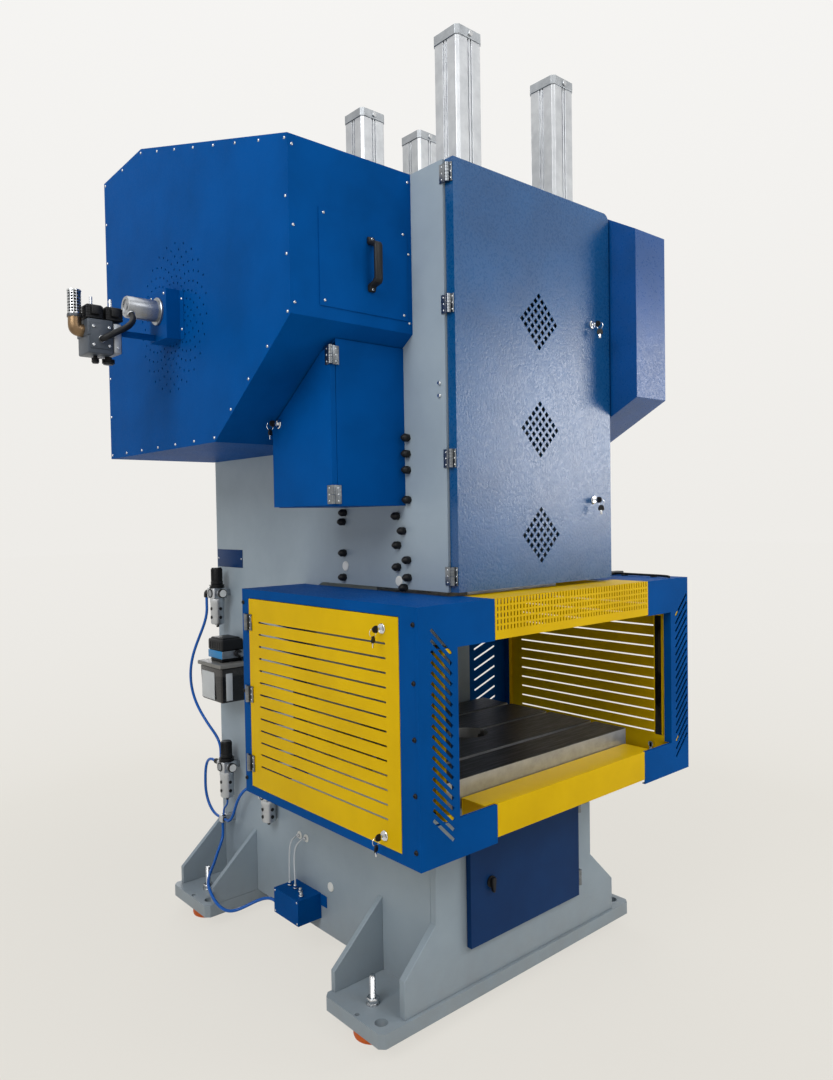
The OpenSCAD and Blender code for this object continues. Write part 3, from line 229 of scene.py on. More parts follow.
# Painted shade in the silencer: a dark matt colour in the holes of the bright punched sheet, for
# the shade inside it.
hole_painted_shade = powder_coat("silencer_hole_shade", "#2c2f31", "#1c1e20", 1.5, 0.1, 0.7, 0.85, 0.1)
# The light curtain's cover strip: smooth dark red-black acrylic.
optic_black = powder_coat("optic_acrylic", "#0c0b0d", "#09090a", 6.0, 0.01, 0.08, 0.14, 0.5)
# Moulded nylon: satin, with the fine spark texture of its mould.
nylon_black = powder_coat("nylon_black", "#1a1b1d", "#141517", 1.0, 0.03, 0.38, 0.5)
nylon_grey = powder_coat("nylon_grey", "#4c5054", "#404347", 1.5, 0.03, 0.35, 0.5)
plug_white = powder_coat("nylon_white", "#e0e1de", "#d3d4d0", 2.0, 0.03, 0.4, 0.5)
# The moulded tank: smoky where it holds air, nearly black over its oil, with a matt grey rim.
tank_smoke = grained("polyamide_smoke", oil_in_tank, 3.0, 0.03, 0.2, 0.3, {})
tank_rim = powder_coat("polyamide_grey", "#7e7d79", "#6f6e6a", 3.0, 0.03, 0.35, 0.5)
# Blank label stock: pale and smooth with a faint shine.
label_plate = powder_coat("blank_label", "#c4c8ca", "#b8bcbe", 4.0, 0.01, 0.35, 0.45)
# Belt rubber is dull and dusty; cable PVC is smoother, with a soft streak along it.
rubber_belt = powder_coat("belt_rubber", "#202022", "#18181a", 1.0, 0.06, 0.6, 0.75)
cable_black = powder_coat("cable_pvc_black", "#1b1c1e", "#151618", 1.2, 0.03, 0.4, 0.5)
# Extruded hose: blue polyurethane and clear nylon, both smooth with a sharp streak of light.
hose_blue = powder_coat("polyurethane_hose_blue", "#1a63bd", "#1557a8", 4.0, 0.02, 0.22, 0.3)
hose_clear = powder_coat("nylon_tube_clear", "#cfd4d8", "#bfc5ca", 4.0, 0.02, 0.15, 0.25)

# ---- Cords: they repeat the routes of the CAD solid, in millimetres ----

# Each hose: its width, its finish and the points of its route.
ROUTES = {
    "hose_upper_regulator": (12, hose_blue, [
        (-450, 696, 1297.7), (-450, 696, 1269.1), (-450.2, 696.4, 1240.6), (-452.8, 700.4, 1212.5),
        (-457.4, 707.6, 1185.2), (-463.2, 716.7, 1158.8), (-469.5, 726.6, 1132.7),
        (-476, 736.5, 1106.8), (-482.1, 745.9, 1080.5), (-487.7, 754.2, 1053.7),
        (-492.2, 760.9, 1026.4), (-495.6, 765.6, 998.4), (-497.5, 767.9, 970),
        (-497.9, 767.8, 941.4), (-496.7, 765.7, 913), (-493.6, 761.6, 884.9),
        (-489.1, 755.1, 857.5), (-483.3, 745.8, 831.1), (-476.9, 733.5, 806.2),
        (-470.6, 717.9, 783.2), (-465.2, 699.2, 762.3), (-461.3, 677.9, 743.7),
        (-457.8, 655.2, 726.6), (-454.6, 633, 708.9), (-451.9, 613.7, 688.1),
        (-450.3, 601.9, 662.4), (-450, 600, 634), (-450, 600, 605.4)]),
    "hose_lower_loop": (12, hose_blue, [(-450, y, z) for y, z in (
        (646.4, 594), (665.4, 594), (684.4, 593.3), (702.8, 588.7), (718.9, 578.8), (731, 564.2),
        (738.9, 547), (743.7, 528.6), (746.3, 509.8), (747.6, 490.8), (748, 471.8), (746.8, 452.8),
        (742.8, 434.3), (735.7, 416.7), (725.7, 400.5), (713, 386.4), (698, 374.8), (681.2, 365.9),
        (663.2, 360), (644.4, 357.3), (625.4, 357), (606.4, 357))]),
    "hose_lower_regulator": (8, hose_blue, [(-450, y, z) for y, z in (
        (550, 457.4), (550, 448.5), (550.6, 439.6), (553.1, 431.1), (557.9, 423.6), (564.5, 417.6),
        (571.5, 412.2), (578.1, 406.2), (582.9, 398.7), (585.4, 390.2), (586, 381.3),
        (586, 372.4))]),
    "hose_valve_box": (12, hose_blue, [
        (-450, 596, 341.6), (-450, 596, 321), (-450, 596, 300.5), (-453.4, 593.7, 280.4),
        (-462.4, 587.5, 263.1), (-474.4, 578.6, 249), (-487.7, 568.2, 237.2), (-501, 556.6, 226.7),
        (-513.8, 544.1, 216.5), (-526.9, 531, 207.6), (-540.6, 517.4, 200.5),
        (-554.4, 503.4, 194.6), (-567.9, 488.7, 189.3), (-580.6, 473.4, 184.2),
        (-592.1, 457.2, 178.9), (-601.9, 440.1, 172.9), (-609, 422.3, 165.7), (-613, 404, 157.1),
        (-615.2, 385.8, 147.9), (-616.2, 367.3, 138.9), (-615.7, 348.5, 130.5),
        (-613.6, 329.3, 123.4), (-609.8, 309.8, 118.4), (-604.1, 290.2, 116),
        (-594.8, 271.9, 116.8), (-581.3, 257, 120.7), (-565.6, 245.2, 126.7),
        (-549.1, 235.1, 133.8), (-532.7, 225.3, 141.4), (-516.8, 214.8, 149.1),
        (-502.3, 202.1, 156.3), (-490.6, 186.4, 162.4), (-483.1, 167.8, 166.4),
        (-480.1, 147.5, 167.9), (-480, 127, 168), (-480, 106.4, 168)]),
    "hose_filter": (12, hose_blue, [
        (-450, 577.6, 357), (-450, 561.3, 357), (-449.9, 545.3, 359.4), (-449.4, 530.9, 366.9),
        (-448.8, 519.2, 378.1), (-448.2, 509.8, 391.3), (-447.5, 501.9, 405.5),
        (-446.9, 494.6, 420), (-446.4, 487.3, 434.5), (-446, 479.5, 448.8), (-445.3, 471, 462.7),
        (-444.1, 461.9, 476.1), (-442.5, 452, 488.9), (-440.5, 441.1, 500.8),
        (-438.4, 429.2, 511.6), (-436.3, 416.1, 521), (-434.3, 402, 528.9), (-432.5, 387, 535),
        (-431.2, 371.4, 539.3), (-430.4, 355.4, 541.9), (-430, 339.2, 542.9), (-430, 322.9, 543),
        (-430, 306.7, 543), (-430, 290.4, 543)]),
    "oil_tube_rear": (6, hose_clear, [
        (-397.4, 78, 416), (-408.3, 78, 415.9), (-419, 78.5, 414.2), (-428.3, 79.8, 408.9),
        (-434.5, 81.5, 400.1), (-437.6, 83.2, 389.9), (-439.2, 84.5, 379.2), (-439.8, 85.6, 368.4),
        (-440.1, 86.2, 357.5), (-440.9, 85.9, 346.7), (-442.3, 84.5, 336), (-444, 82.4, 325.4),
        (-445.9, 79.9, 315), (-447.5, 77.6, 304.5), (-448.9, 75.7, 293.8), (-449.7, 74.5, 283),
        (-450, 74, 272.2), (-450, 74, 261.3), (-450, 74, 250.4)]),
    "oil_tube_front": (6, hose_clear, [
        (-397.4, 34, 416), (-408.4, 34, 415.9), (-419.2, 35, 414.2), (-428.6, 37.4, 409.1),
        (-435, 40.8, 400.8), (-438.5, 44, 390.9), (-440.4, 46.7, 380.4), (-441.4, 48.7, 369.6),
        (-442, 49.9, 358.6), (-442.6, 50.2, 347.6), (-443.7, 49.1, 336.7), (-445.1, 46.8, 326),
        (-446.6, 43.7, 315.6), (-448, 40.7, 305.1), (-449.1, 38.2, 294.4), (-449.7, 36.6, 283.5),
        (-450, 36, 272.5), (-450, 36, 261.4), (-450, 36, 250.4)]),
}
# The moulded rubber pipe from the valve to the rotary inlet, which keeps its shape.
MOULDED_PIPE = [
    (-1005, 90.2, 2319.2), (-1005, 80.5, 2309.5), (-1006.5, 70.7, 2300), (-1010.6, 61.2, 2291),
    (-1016.5, 52.3, 2282.4), (-1023.8, 44.2, 2274.2), (-1032.4, 37.1, 2266.2),
    (-1042.2, 31.3, 2258.6), (-1053.1, 27.3, 2251.2), (-1064.7, 25.5, 2244.2),
    (-1076.6, 25, 2237.3), (-1088.4, 25.6, 2230.4), (-1100, 28.1, 2223.5), (-1110.5, 34.1, 2217.3),
    (-1115.9, 45.9, 2214), (-1116, 59.6, 2214)]


def smooth_route(points, steps):
    """Catmull-Rom points through a route, the curve that the CAD tube follows."""
    last = len(points) - 1
    route = []
    for i in range(last):
        a, b, c, d = (Vector(points[k]) for k in (max(i - 1, 0), i, i + 1, min(i + 2, last)))
        for k in range(steps):
            t = k / steps
            route.append(0.5 * (2 * b + (c - a) * t + (2 * a - 5 * b + 4 * c - d) * t ** 2
                                + (3 * b - a - 3 * c + d) * t ** 3))
    return route + [Vector(points[-1])]


def round_curve(name, route, across, rings, closed=False):
    """A curve with a round section through the points of a route."""
    data = bpy.data.curves.new(name, "CURVE")
    data.dimensions = "3D"
    data.bevel_depth = across / 2
    data.bevel_resolution = rings
    data.use_fill_caps = not closed
    line = data.splines.new("POLY")
    line.points.add(len(route) - 1)
    line.use_cyclic_u = closed
    for point, place in zip(line.points, route):
        point.co = (*place, 1)
    return data


def make_cord(name, across_mm, finish, points):
    """A round hose along its route."""
    route = [p / 1000 for p in smooth_route(points, 5)]
    data = round_curve(name, route, across_mm / 1000, 4)
    data.materials.append(finish)
    hose = in_scene(name, data)
    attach(hose, "frame")
    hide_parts("air_hoses")


for cord_name, cord_facts in ROUTES.items():
    make_cord(cord_name, *cord_facts)

# ---- CAD nodes: each gets its finish and softly broken edges ----

FINISHES = {
    enamel_grey: ["side_plate_left", "side_plate_right", "frame_webs", "pedestal_plate",
                  "base_bars", "foot_gussets"],
    pad_orange: ["levelling_pads"],
    zinc_plate: ["jack_screws", "ram_rods"],
    hinge_steel: ["hinge_leaves"],
    ground_steel: ["bolster"],
    bronze: ["shaft_bearings"],
    turned_steel: ["ram_guides", "ram", "crankshaft", "conrod", "pinion_shaft"],
    cast_iron: ["crank_gear", "flywheel", "motor_pulley", "clutch_brake"],
    anodised: ["cylinder_barrels", "rotary_union", "regulators"],
    die_cast: ["cylinder_caps", "valve_block"],
    coat_gear: ["gear_cover"],
    coat_blue: ["flywheel_guard", "guard_hatch", "hub_bracket", "side_cabinet",
                "work_guard_frame", "front_posts", "cabinet_door", "valve_box"],
    coat_door: ["upper_door"],
    coat_navy: ["pedestal_door"],
    coat_yellow: ["top_front_guard", "lower_front_bar", "side_door_left", "side_door_right",
                  "light_curtains"],
    nylon_black: ["hatch_handle", "cable_glands", "regulator_knob_high", "regulator_knob_low",
                  "oil_pump"],
    brass: ["valve_silencer"],
    enamel_motor: ["drive_motor"],
    rubber_belt: ["v_belts"],
    nylon_grey: ["oil_tank"],
    chrome_plate: [n for n in nodes if "_lock" in n],
}
# Broken edges in millimetres: heavy plate is rounded further than sheet.
SHEET_EDGE = 0.8
EDGE_MM = {"side_plate_left": 2, "side_plate_right": 2, "base_bars": 3, "foot_gussets": 2,
           "pedestal_plate": 2, "bolster": 1.5, "upper_door": 1.2}
# Points this close, in metres, become one.
WELD_M = 0.00002
# Faces that turn less than the first angle count as flat, and edges past the second as sharp.
FLUSH_ANGLE, SHARP_ANGLE = math.radians(0.4), math.radians(35)


def dress(name, finish):
    """Gives a CAD node its finish, and breaks its sharp edges with a small bevel."""
    shown = nodes[name]
    shown.data.materials.clear()
    shown.data.materials.append(finish)
    # Triangles of a flat face become one face, so that a bevel can't run out along them, and
    # flat faces keep their own direction, so that the bevels leave no streaks on them.
    for kind, settings in (
            ("WELD", {"merge_threshold": WELD_M}),
            ("DECIMATE", {"decimate_type": "DISSOLVE", "angle_limit": FLUSH_ANGLE}),
            ("BEVEL", {"width": EDGE_MM.get(name, SHEET_EDGE) / 1000, "segments": 2,
                       "limit_method": "ANGLE", "angle_limit": SHARP_ANGLE, "loop_slide": False}),
            ("WEIGHTED_NORMAL", {"keep_sharp": True})):
        step = shown.modifiers.new(kind.lower(), kind)
        for key, value in settings.items():
            setattr(step, key, value)


for finish, members in FINISHES.items():
    for member in members:
        dress(member, finish)

# ---- Shaping tools: shapes are drawn in millimetres and merged into one piece ----

FRONT, BACK, LEFT, RIGHT, UP, DOWN = "front", "back", "left", "right", "up", "down"
# Outward direction of each side, and the direction that is upwards on it.
FACES = {FRONT: ((0, -1, 0), (0, 0, 1)), BACK: ((0, 1, 0), (0, 0, 1)),
         LEFT: ((-1, 0, 0), (0, 0, 1)), RIGHT: ((1, 0, 0), (0, 0, 1)),
         UP: ((0, 0, 1), (0, 1, 0)), DOWN: ((0, 0, -1), (0, 1, 0))}


def on(side, at):
    """Stands a shape on a side of the machine, its own Z outwards and its own Y upwards."""
    out, up = (Vector(v) for v in FACES[side])
    return shift(*at) @ Matrix((up.cross(out), up, out)).transposed().to_4x4()


def add(target, part, place=None, finish=0):
    """Adds a copy of a small shape to a piece; None keeps the shape's own finishes."""
    held = bpy.data.meshes.new("held")
    if finish is not None:
        for face in part.faces:
            face.material_index = finish
    part.to_mesh(held)
    held.transform(Matrix.Scale(0.001, 4) @ (place or Matrix.Identity(4)))
    target.from_mesh(held)
    bpy.data.meshes.remove(held)


def broken(part, edge, segments=1):
    """Breaks every edge of a shape."""
    bmesh.ops.bevel(part, geom=part.edges[:], offset=edge, affect="EDGES", segments=segments,
                    profile=0.5, material=-1)
    return part


def slab(x, y, z, edge=0.6, segments=2):
    """A block between two corners with softly broken edges."""
    part = bmesh.new()
    bmesh.ops.create_cube(part, size=1)
    spans = (x, y, z)
    bmesh.ops.scale(part, verts=part.verts, vec=[b - a for a, b in spans])
    bmesh.ops.translate(part, verts=part.verts, vec=[(a + b) / 2 for a, b in spans])
    return broken(part, edge, segments)


def blocks(target, rows, place=None):
    """Adds blocks to a piece; a row is a finish and then what slab takes."""
    for finish, *sizes in rows:
        add(target, slab(*sizes), place, finish)


def turned(profile, steps=32):
    """A turned shape from (radius, height) pairs, listed up the outside."""
    part = bmesh.new()
    verts = [part.verts.new((r, 0, h)) for r, h in profile]
    for pair in zip(verts, verts[1:]):
        part.edges.new(pair)
    bmesh.ops.spin(part, geom=part.verts[:] + part.edges[:], cent=(0, 0, 0), axis=(0, 0, 1),
                   angle=math.tau, steps=steps, use_merge=True)
    bmesh.ops.remove_doubles(part, verts=part.verts, dist=0.001)
    bmesh.ops.recalc_face_normals(part, faces=part.faces)
    return part


def boss(r, shoulder, top_r, top, steps=20):
    """A turned disc or boss: straight up to its shoulder, then in to a smaller flat top."""
    return turned([(0, 0), (r, 0), (r, shoulder), (top_r, top), (0, top)], steps)


def prism(across, height, edge):
    """A hexagon bar standing on its end, by its width over corners."""
    part = bmesh.new()
    bmesh.ops.create_cone(part, cap_ends=True, segments=6, radius1=across / 2,
                          radius2=across / 2, depth=height)
    bmesh.ops.translate(part, verts=part.verts, vec=(0, 0, height / 2))
    return broken(part, edge)


def plate(outline, thick, edge):
    """A flat plate cut to an outline, standing thick along its own Z."""
    part = bmesh.new()
    face = part.faces.new([part.verts.new((x, y, 0)) for x, y in outline])
    grown = bmesh.ops.extrude_face_region(part, geom=[face])
    verts = [v for v in grown["geom"] if isinstance(v, bmesh.types.BMVert)]
    bmesh.ops.translate(part, verts=verts, vec=(0, 0, thick))
    broken(part, edge)
    bmesh.ops.recalc_face_normals(part, faces=part.faces)
    return part


def pipe(points, across, closed=False, sides=4, steps=4):
    """A round bar or tube bent along a smooth route."""
    data = round_curve("route", smooth_route(points, steps), across, sides // 2, closed)
    holder = bpy.data.objects.new("route", data)
    mesh = bpy.data.meshes.new_from_object(holder)
    part = bmesh.new()
    part.from_mesh(mesh)
    bpy.data.objects.remove(holder)
    bpy.data.curves.remove(data)
    bpy.data.meshes.remove(mesh)
    bmesh.ops.remove_doubles(part, verts=part.verts, dist=0.001)
    return part


def piece(name, bm, finishes, stands_for=(), body="frame", smooth_deg=38):
    """Turns a filled bmesh into a named piece that rides on a body."""
    mesh = bpy.data.meshes.new(name)
    bm.to_mesh(mesh)
    bm.free()
    for finish in finishes:
        mesh.materials.append(finish)
    mesh.shade_smooth()
    mesh.set_sharp_from_angle(angle=math.radians(smooth_deg))
    made = in_scene(name, mesh)
    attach(made, body)
    if stands_for:
        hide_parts(*stands_for)


def pan_screw(across, height):
    """A domed screw head with a hexagon socket."""
    r = across / 2
    return turned([(0, height * 0.45), (r * 0.42, height * 0.45), (r * 0.46, height),
                   (r * 0.72, height * 0.86), (r * 0.94, height * 0.45), (r, 0)], 12)


def cap_screw(across, height):
    """A cylindrical socket screw head."""
    r = across / 2
    return turned([(0, height * 0.45), (r * 0.5, height * 0.45), (r * 0.54, height - 0.4),
                   (r * 0.6, height), (r - 0.8, height), (r, height - 0.8), (r, 0)], 16)


def screws(name, spots, finish, across, height):
    """One piece of many equal screw heads; each spot is a side and a point on it."""
    bm = bmesh.new()
    part = pan_screw(across, height)
    for side, at in spots:
        add(bm, part, on(side, at))
    part.free()
    piece(name, bm, [finish])


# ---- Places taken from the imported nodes, in millimetres ----


def span(name):
    """A CAD node's box as ranges along X, Y and Z, in millimetres."""
    low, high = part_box(name)
    return [(low[i] * 1000, high[i] * 1000) for i in range(3)]


# Outer faces of the left side plate, the flywheel guard and the hub's bracket.
PLATE = span("side_plate_left")[0][0]
GUARD = span("flywheel_guard")[0][0]
HUB = span("hub_bracket")[0][0]
# The shaft's axis, along Y and Z.
SHAFT = (116, 2345)
# Each door: its pins, then the fixed and the moving leaf. A leaf is the side that it faces,
# the direction across it from the pin, its width and its two faces outside the pin.
HINGES = {
    "upper_door": ([(-398, -793, z) for z in (1450, 1806, 2268, 2655)],
                   (LEFT, -1, 30, (-1, 3)), (LEFT, 1, 15, (-9, -4))),
    "cabinet_door": ([(-686, -586, z) for z in (1702, 2116)],
                     (FRONT, 1, 34, (-6, -2)), (LEFT, -1, 28, (-4, 0.5))),
    "pedestal_door": ([(310, -708, z) for z in (290, 560)],
                      (FRONT, 1, 8, (-16, -4)), (FRONT, -1, 9.6, (0, 4.4))),
    "side_door_left": ([(-668, -26, z) for z in (776, 1020, 1273)],
                       (LEFT, -1, 24, (-8, -3.6)), (LEFT, 1, 28, (-8, -3.6))),
    "side_door_right": ([(708, -26, z) for z in (776, 1020, 1273)],
                        (RIGHT, 1, 24, (-8, -3.6)), (RIGHT, -1, 28, (-8, -3.6))),
}

# ---- Hinges: dulled steel leaves, grooved knuckles and small plated screws ----

HINGE_HALF = 28
KNUCKLE_R = 7.8
# Half of the gap between the two sleeves, and how far from the pin a screw sits at least.
SLEEVE_GAP = 0.3
SCREW_OUT = 11.4


def knuckle(bm, pin, low, high):
    """A hinge barrel between two heights, with two grooves round it."""
    r = KNUCKLE_R
    profile = [(0, low), (r - 0.6, low), (r, low + 0.6)]
    for third in (1, 2):
        z = low + (high - low) * third / 3
        profile += [(r, z - 0.5), (r - 0.8, z), (r, z + 0.5)]
    add(bm, turned(profile + [(r, high - 0.6), (r - 0.6, high), (0, high)], 20), shift(*pin))


def leaf(bm, pin, upper, side, direction, wide, depth):
    """A full-height hinge leaf beside the pin; its arm reaches the barrel on its own half."""
    place = on(side, pin)
    start = min(KNUCKLE_R + 0.8, wide - 2)
    own = (SLEEVE_GAP, HINGE_HALF) if upper else (-HINGE_HALF, -SLEEVE_GAP)
    for x, y, z, edge in (((start, wide), (-HINGE_HALF, HINGE_HALF), depth, 0.7),
                          ((0, start + 1), own, depth, 0.5), ((0, 5), own, (depth[0], 4), 0.5)):
        add(bm, slab(sorted(direction * end for end in x), y, z, edge), place)
    if wide > 12:
        out = direction * max(wide * 0.66, SCREW_OUT)
        for height in (-19, 0, 19):
            add(bm, pan_screw(6, 1.4), place @ shift(out, height, depth[1] - 0.2), 1)


def make_hinges():
    """Fixed halves in one piece on the frame, and the moving halves on each door."""
    fixed = bmesh.new()
    for door, (pins, fixed_leaf, moving_leaf) in HINGES.items():
        moving = bmesh.new()
        for pin in pins:
            knuckle(fixed, pin, -HINGE_HALF, -SLEEVE_GAP)
            leaf(fixed, pin, False, *fixed_leaf)
            knuckle(moving, pin, SLEEVE_GAP, HINGE_HALF)
            leaf(moving, pin, True, *moving_leaf)
        piece("hinges_" + door, moving, [hinge_steel, zinc_plate], body=door)
    piece("hinge_halves_fixed", fixed, [hinge_steel, zinc_plate], ["hinge_leaves"])


make_hinges()

# ---- Locks: bright cylinders with a key in them and its spare on the ring, and one wing ----

# The cam behind each lock: its finish and its block.
CAM = (0, (-6, 6), (-26, 8), (-18, -14))


def key_shape(bm, place):
    """A flat key: its blade and a black moulded bow."""
    add(bm, slab((-1.1, 1.1), (-4, 4), (3, 18), 0.3), place)
    bow = plate([(-9, 0), (-11, 6), (-9, 15), (-4, 20), (4, 20), (9, 15), (11, 6), (9, 0)], 4, 1)
    add(bm, bow, place @ shift(-2, 0, 16) @ turn(90, "X") @ turn(90, "Y"), 1)


def make_key_lock(name, side, at):
    """Cylinder lock with collar and cam, the key turned in it, and a second key hanging."""
    bm = bmesh.new()
    place = on(side, at)
    add(bm, turned([(0, -18), (10.9, -18), (10.9, 0.3), (15, 0.3), (15.2, 3), (13.4, 5.4),
                    (10.4, 5.8), (10, 4.4), (0, 4.4)], 28), place)
    blocks(bm, [CAM], place)
    key_shape(bm, place)
    ring = [(0, 12 * math.cos(a), 12 * math.sin(a)) for a in
            (math.tau * k / 12 for k in range(12))]
    add(bm, pipe(ring, 1.6, closed=True, steps=1), place @ shift(0, -9, 34))
    key_shape(bm, place @ shift(0, -54, 33) @ turn(-90, "X") @ turn(25))
    piece(name + "_detail", bm, [chrome_plate, nylon_black], [name], name)


def make_wing_lock(name, side, at):
    """Black quarter-turn lock: a collar and a wing handle."""
    bm = bmesh.new()
    place = on(side, at)
    add(bm, turned([(0, -18), (10.9, -18), (10.9, 0.3), (19, 0.3), (19, 4), (17, 6.5),
                    (9, 7), (0, 7)], 28), place, 1)
    blocks(bm, [CAM], place)
    wing = plate([(-9, 16), (9, 16), (10, 4), (7, -22), (3, -34), (-3, -34), (-7, -22),
                  (-10, 4)], 13, 2.4)
    add(bm, wing, place @ shift(0, 0, 5), 1)
    piece(name + "_detail", bm, [zinc_plate, nylon_black], [name], name)


KEY_LOCKS = {
    "upper_door_lock_high": (FRONT, (281, -810, 2295)),
    "upper_door_lock_low": (FRONT, (279, -810, 1681)),
    "cabinet_door_lock": (LEFT, (-682, -290, 1938)),
    "left_door_lock_high": (LEFT, (-660, -775, 1318)),
    "left_door_lock_low": (LEFT, (-660, -772, 726)),
    "right_door_lock_high": (RIGHT, (700, -775, 1318)),
    "right_door_lock_low": (RIGHT, (700, -772, 726)),
}
for lock_name, lock_place in KEY_LOCKS.items():
    make_key_lock(lock_name, *lock_place)
make_wing_lock("pedestal_door_lock", FRONT, (-167, -713, 423))

# ---- Levelling screws: threaded rod, nut and washer on a cast pad ----


def threaded(r, low, high, pitch=2.5):
    """A threaded rod: its profile has a crest and a root for each turn."""
    profile = [(0, low), (r - 1, low)]
    for k in range(int((high - low - 3) / pitch)):
        z = low + 1 + k * pitch
        profile += [(r, z + pitch * 0.3), (r - 1, z + pitch * 0.8)]
    return turned(profile + [(r - 1.5, high - 1), (0, high)], 20)


def make_feet():
    """Four levelling screws with nuts, and their two-step pads."""
    bolts, pads = bmesh.new(), bmesh.new()
    for x in (-545, 545):
        for y in (-553, 553):
            at = shift(x, y, 0)
            add(bolts, threaded(10, 50, 190), at)
            add(bolts, turned([(12, 96), (22, 96), (22, 99.4), (12, 99.4)], 28), at)
            add(bolts, prism(41.6, 19, 1.2), at @ shift(0, 0, 99.4))
            add(pads, turned([(0, 0), (56, 0), (62, 3), (64, 9), (64, 28), (61, 33), (54, 36),
                              (53, 46), (50, 50), (0, 50)], 64), at)
    piece("levelling_screws", bolts, [zinc_plate], ["jack_screws"])
    piece("levelling_pad_set", pads, [pad_orange], ["levelling_pads"])


make_feet()

# ---- Covers: their screws and the handle of the hatch ----


def inset_points(corners, margin, spacing):
    """Points along a convex outline, moved inwards by a margin, about spacing apart."""
    pulled = []
    for i in range(len(corners)):
        a, b, c = (Vector(corners[(i + k) % len(corners)]) for k in (-1, 0, 1))
        u = Vector((a.y - b.y, b.x - a.x)).normalized()
        v = Vector((b.y - c.y, c.x - b.x)).normalized()
        pulled.append(b + margin * (u + v) / (1 + u.dot(v)))
    points = []
    for a, b in zip(pulled, pulled[1:] + pulled[:1]):
        count = max(1, round((b - a).length / spacing))
        points += [a.lerp(b, k / count) for k in range(count)]
    return points


def make_cover_screws():
    """Bright screws round the guard, gear cover, hatch and hub, and black ones down the posts."""
    guard = [(-171, 1882), (700, 1882), (700, 2970), (342, 2985), (-627, 2700), (-627, 2204)]
    cover = [(-917, 2041), (-610, 1871), (-60, 1871), (270, 2070), (270, 2600), (-60, 2820),
             (-567, 2820), (-917, 2626)]
    hatch_x, hatch_y, hatch_z = span("guard_hatch")
    hub_y = span("hub_bracket")[1]
    bright = [(LEFT, (GUARD, y, z)) for y, z in inset_points(guard, 14, 150)]
    bright += [(RIGHT, (span("gear_cover")[0][1], y, z)) for y, z in inset_points(cover, 14, 170)]
    bright += [(FRONT, (x, -627, z)) for x in (-410, GUARD + 14) for z in (2236, 2450, 2672)]
    bright += [(FRONT, (x, hatch_y[0], z)) for x in (hatch_x[0] + 16, hatch_x[1] - 16)
               for z in (hatch_z[0] + 16, hatch_z[1] - 16)]
    bright += [(LEFT, (GUARD - 3, y, z)) for y in (hub_y[0] + 11, hub_y[1] - 11)
               for z in (SHAFT[1] - 66, SHAFT[1] + 36)]
    bright += [(LEFT, (HUB, SHAFT[0] + y, SHAFT[1] + 52)) for y in (-50, 50)]
    screws("cover_screws", bright, zinc_plate, 9, 3)
    black = []
    for side, end in ((LEFT, 0), (RIGHT, 1)):
        post, sheet = (span(name)[0][end] for name in ("front_posts", "work_guard_frame"))
        black += [(side, (post, -908, z)) for z in (1340, 1180, 1026, 872, 716)]
        black += [(side, (sheet, 3, z)) for z in (1340, 1026, 716)]
    screws("seam_screws", black, nylon_black, 15, 6)


make_cover_screws()


def make_hatch_handle():
    """A moulded bridge grip, drawn from the side and cut 26 mm wide, with two screws."""
    bm = bmesh.new()
    grip_x, _, grip_z = span("hatch_handle")
    face = span("guard_hatch")[1][0]
    x, z = sum(grip_x) / 2, sum(grip_z) / 2
    high = (grip_z[1] - grip_z[0]) / 2
    half = [(0, 0), (0, 9), (14, 14), (20, 40), (30, 46)]
    inside = [(38, 31), (30, 24), (22, 0)]
    outline = [(a - high, b) for a, b in half] + [(high - a, b) for a, b in reversed(half)]
    outline += [(high - a, b) for a, b in reversed(inside)]
    outline += [(a - high, b) for a, b in inside]
    stand = Matrix(((0, 0, 1, -13), (1, 0, 0, 0), (0, 1, 0, 0), (0, 0, 0, 1)))
    add(bm, plate(outline, 26, 3), on(FRONT, (x, face, z)) @ stand)
    for end in (-1, 1):
        add(bm, cap_screw(8, 3), on(FRONT, (x, face - 9.5, z + end * (high - 7))), 1)
    piece("hatch_grip", bm, [nylon_black, zinc_plate], ["hatch_handle"],
          smooth_deg=50)


make_hatch_handle()

# ---- Hub: rotary air inlet, double valve with its coils, elbow and silencer ----


def make_rotary_inlet():
    """A turned and polished cylinder with a seal lip and an end cap."""
    bm = bmesh.new()
    place = on(LEFT, (HUB, *SHAFT))
    add(bm, turned([(22, 0), (46, 0), (46, 6), (44, 8), (36, 8), (36, 108), (33, 113),
                    (24, 113), (23, 110), (0, 110)], 48), place)
    add(bm, turned([(0, 109), (12, 109), (12, 112), (0, 112)], 6), place)
    piece("rotary_inlet", bm, [turned_steel], ["rotary_union"])


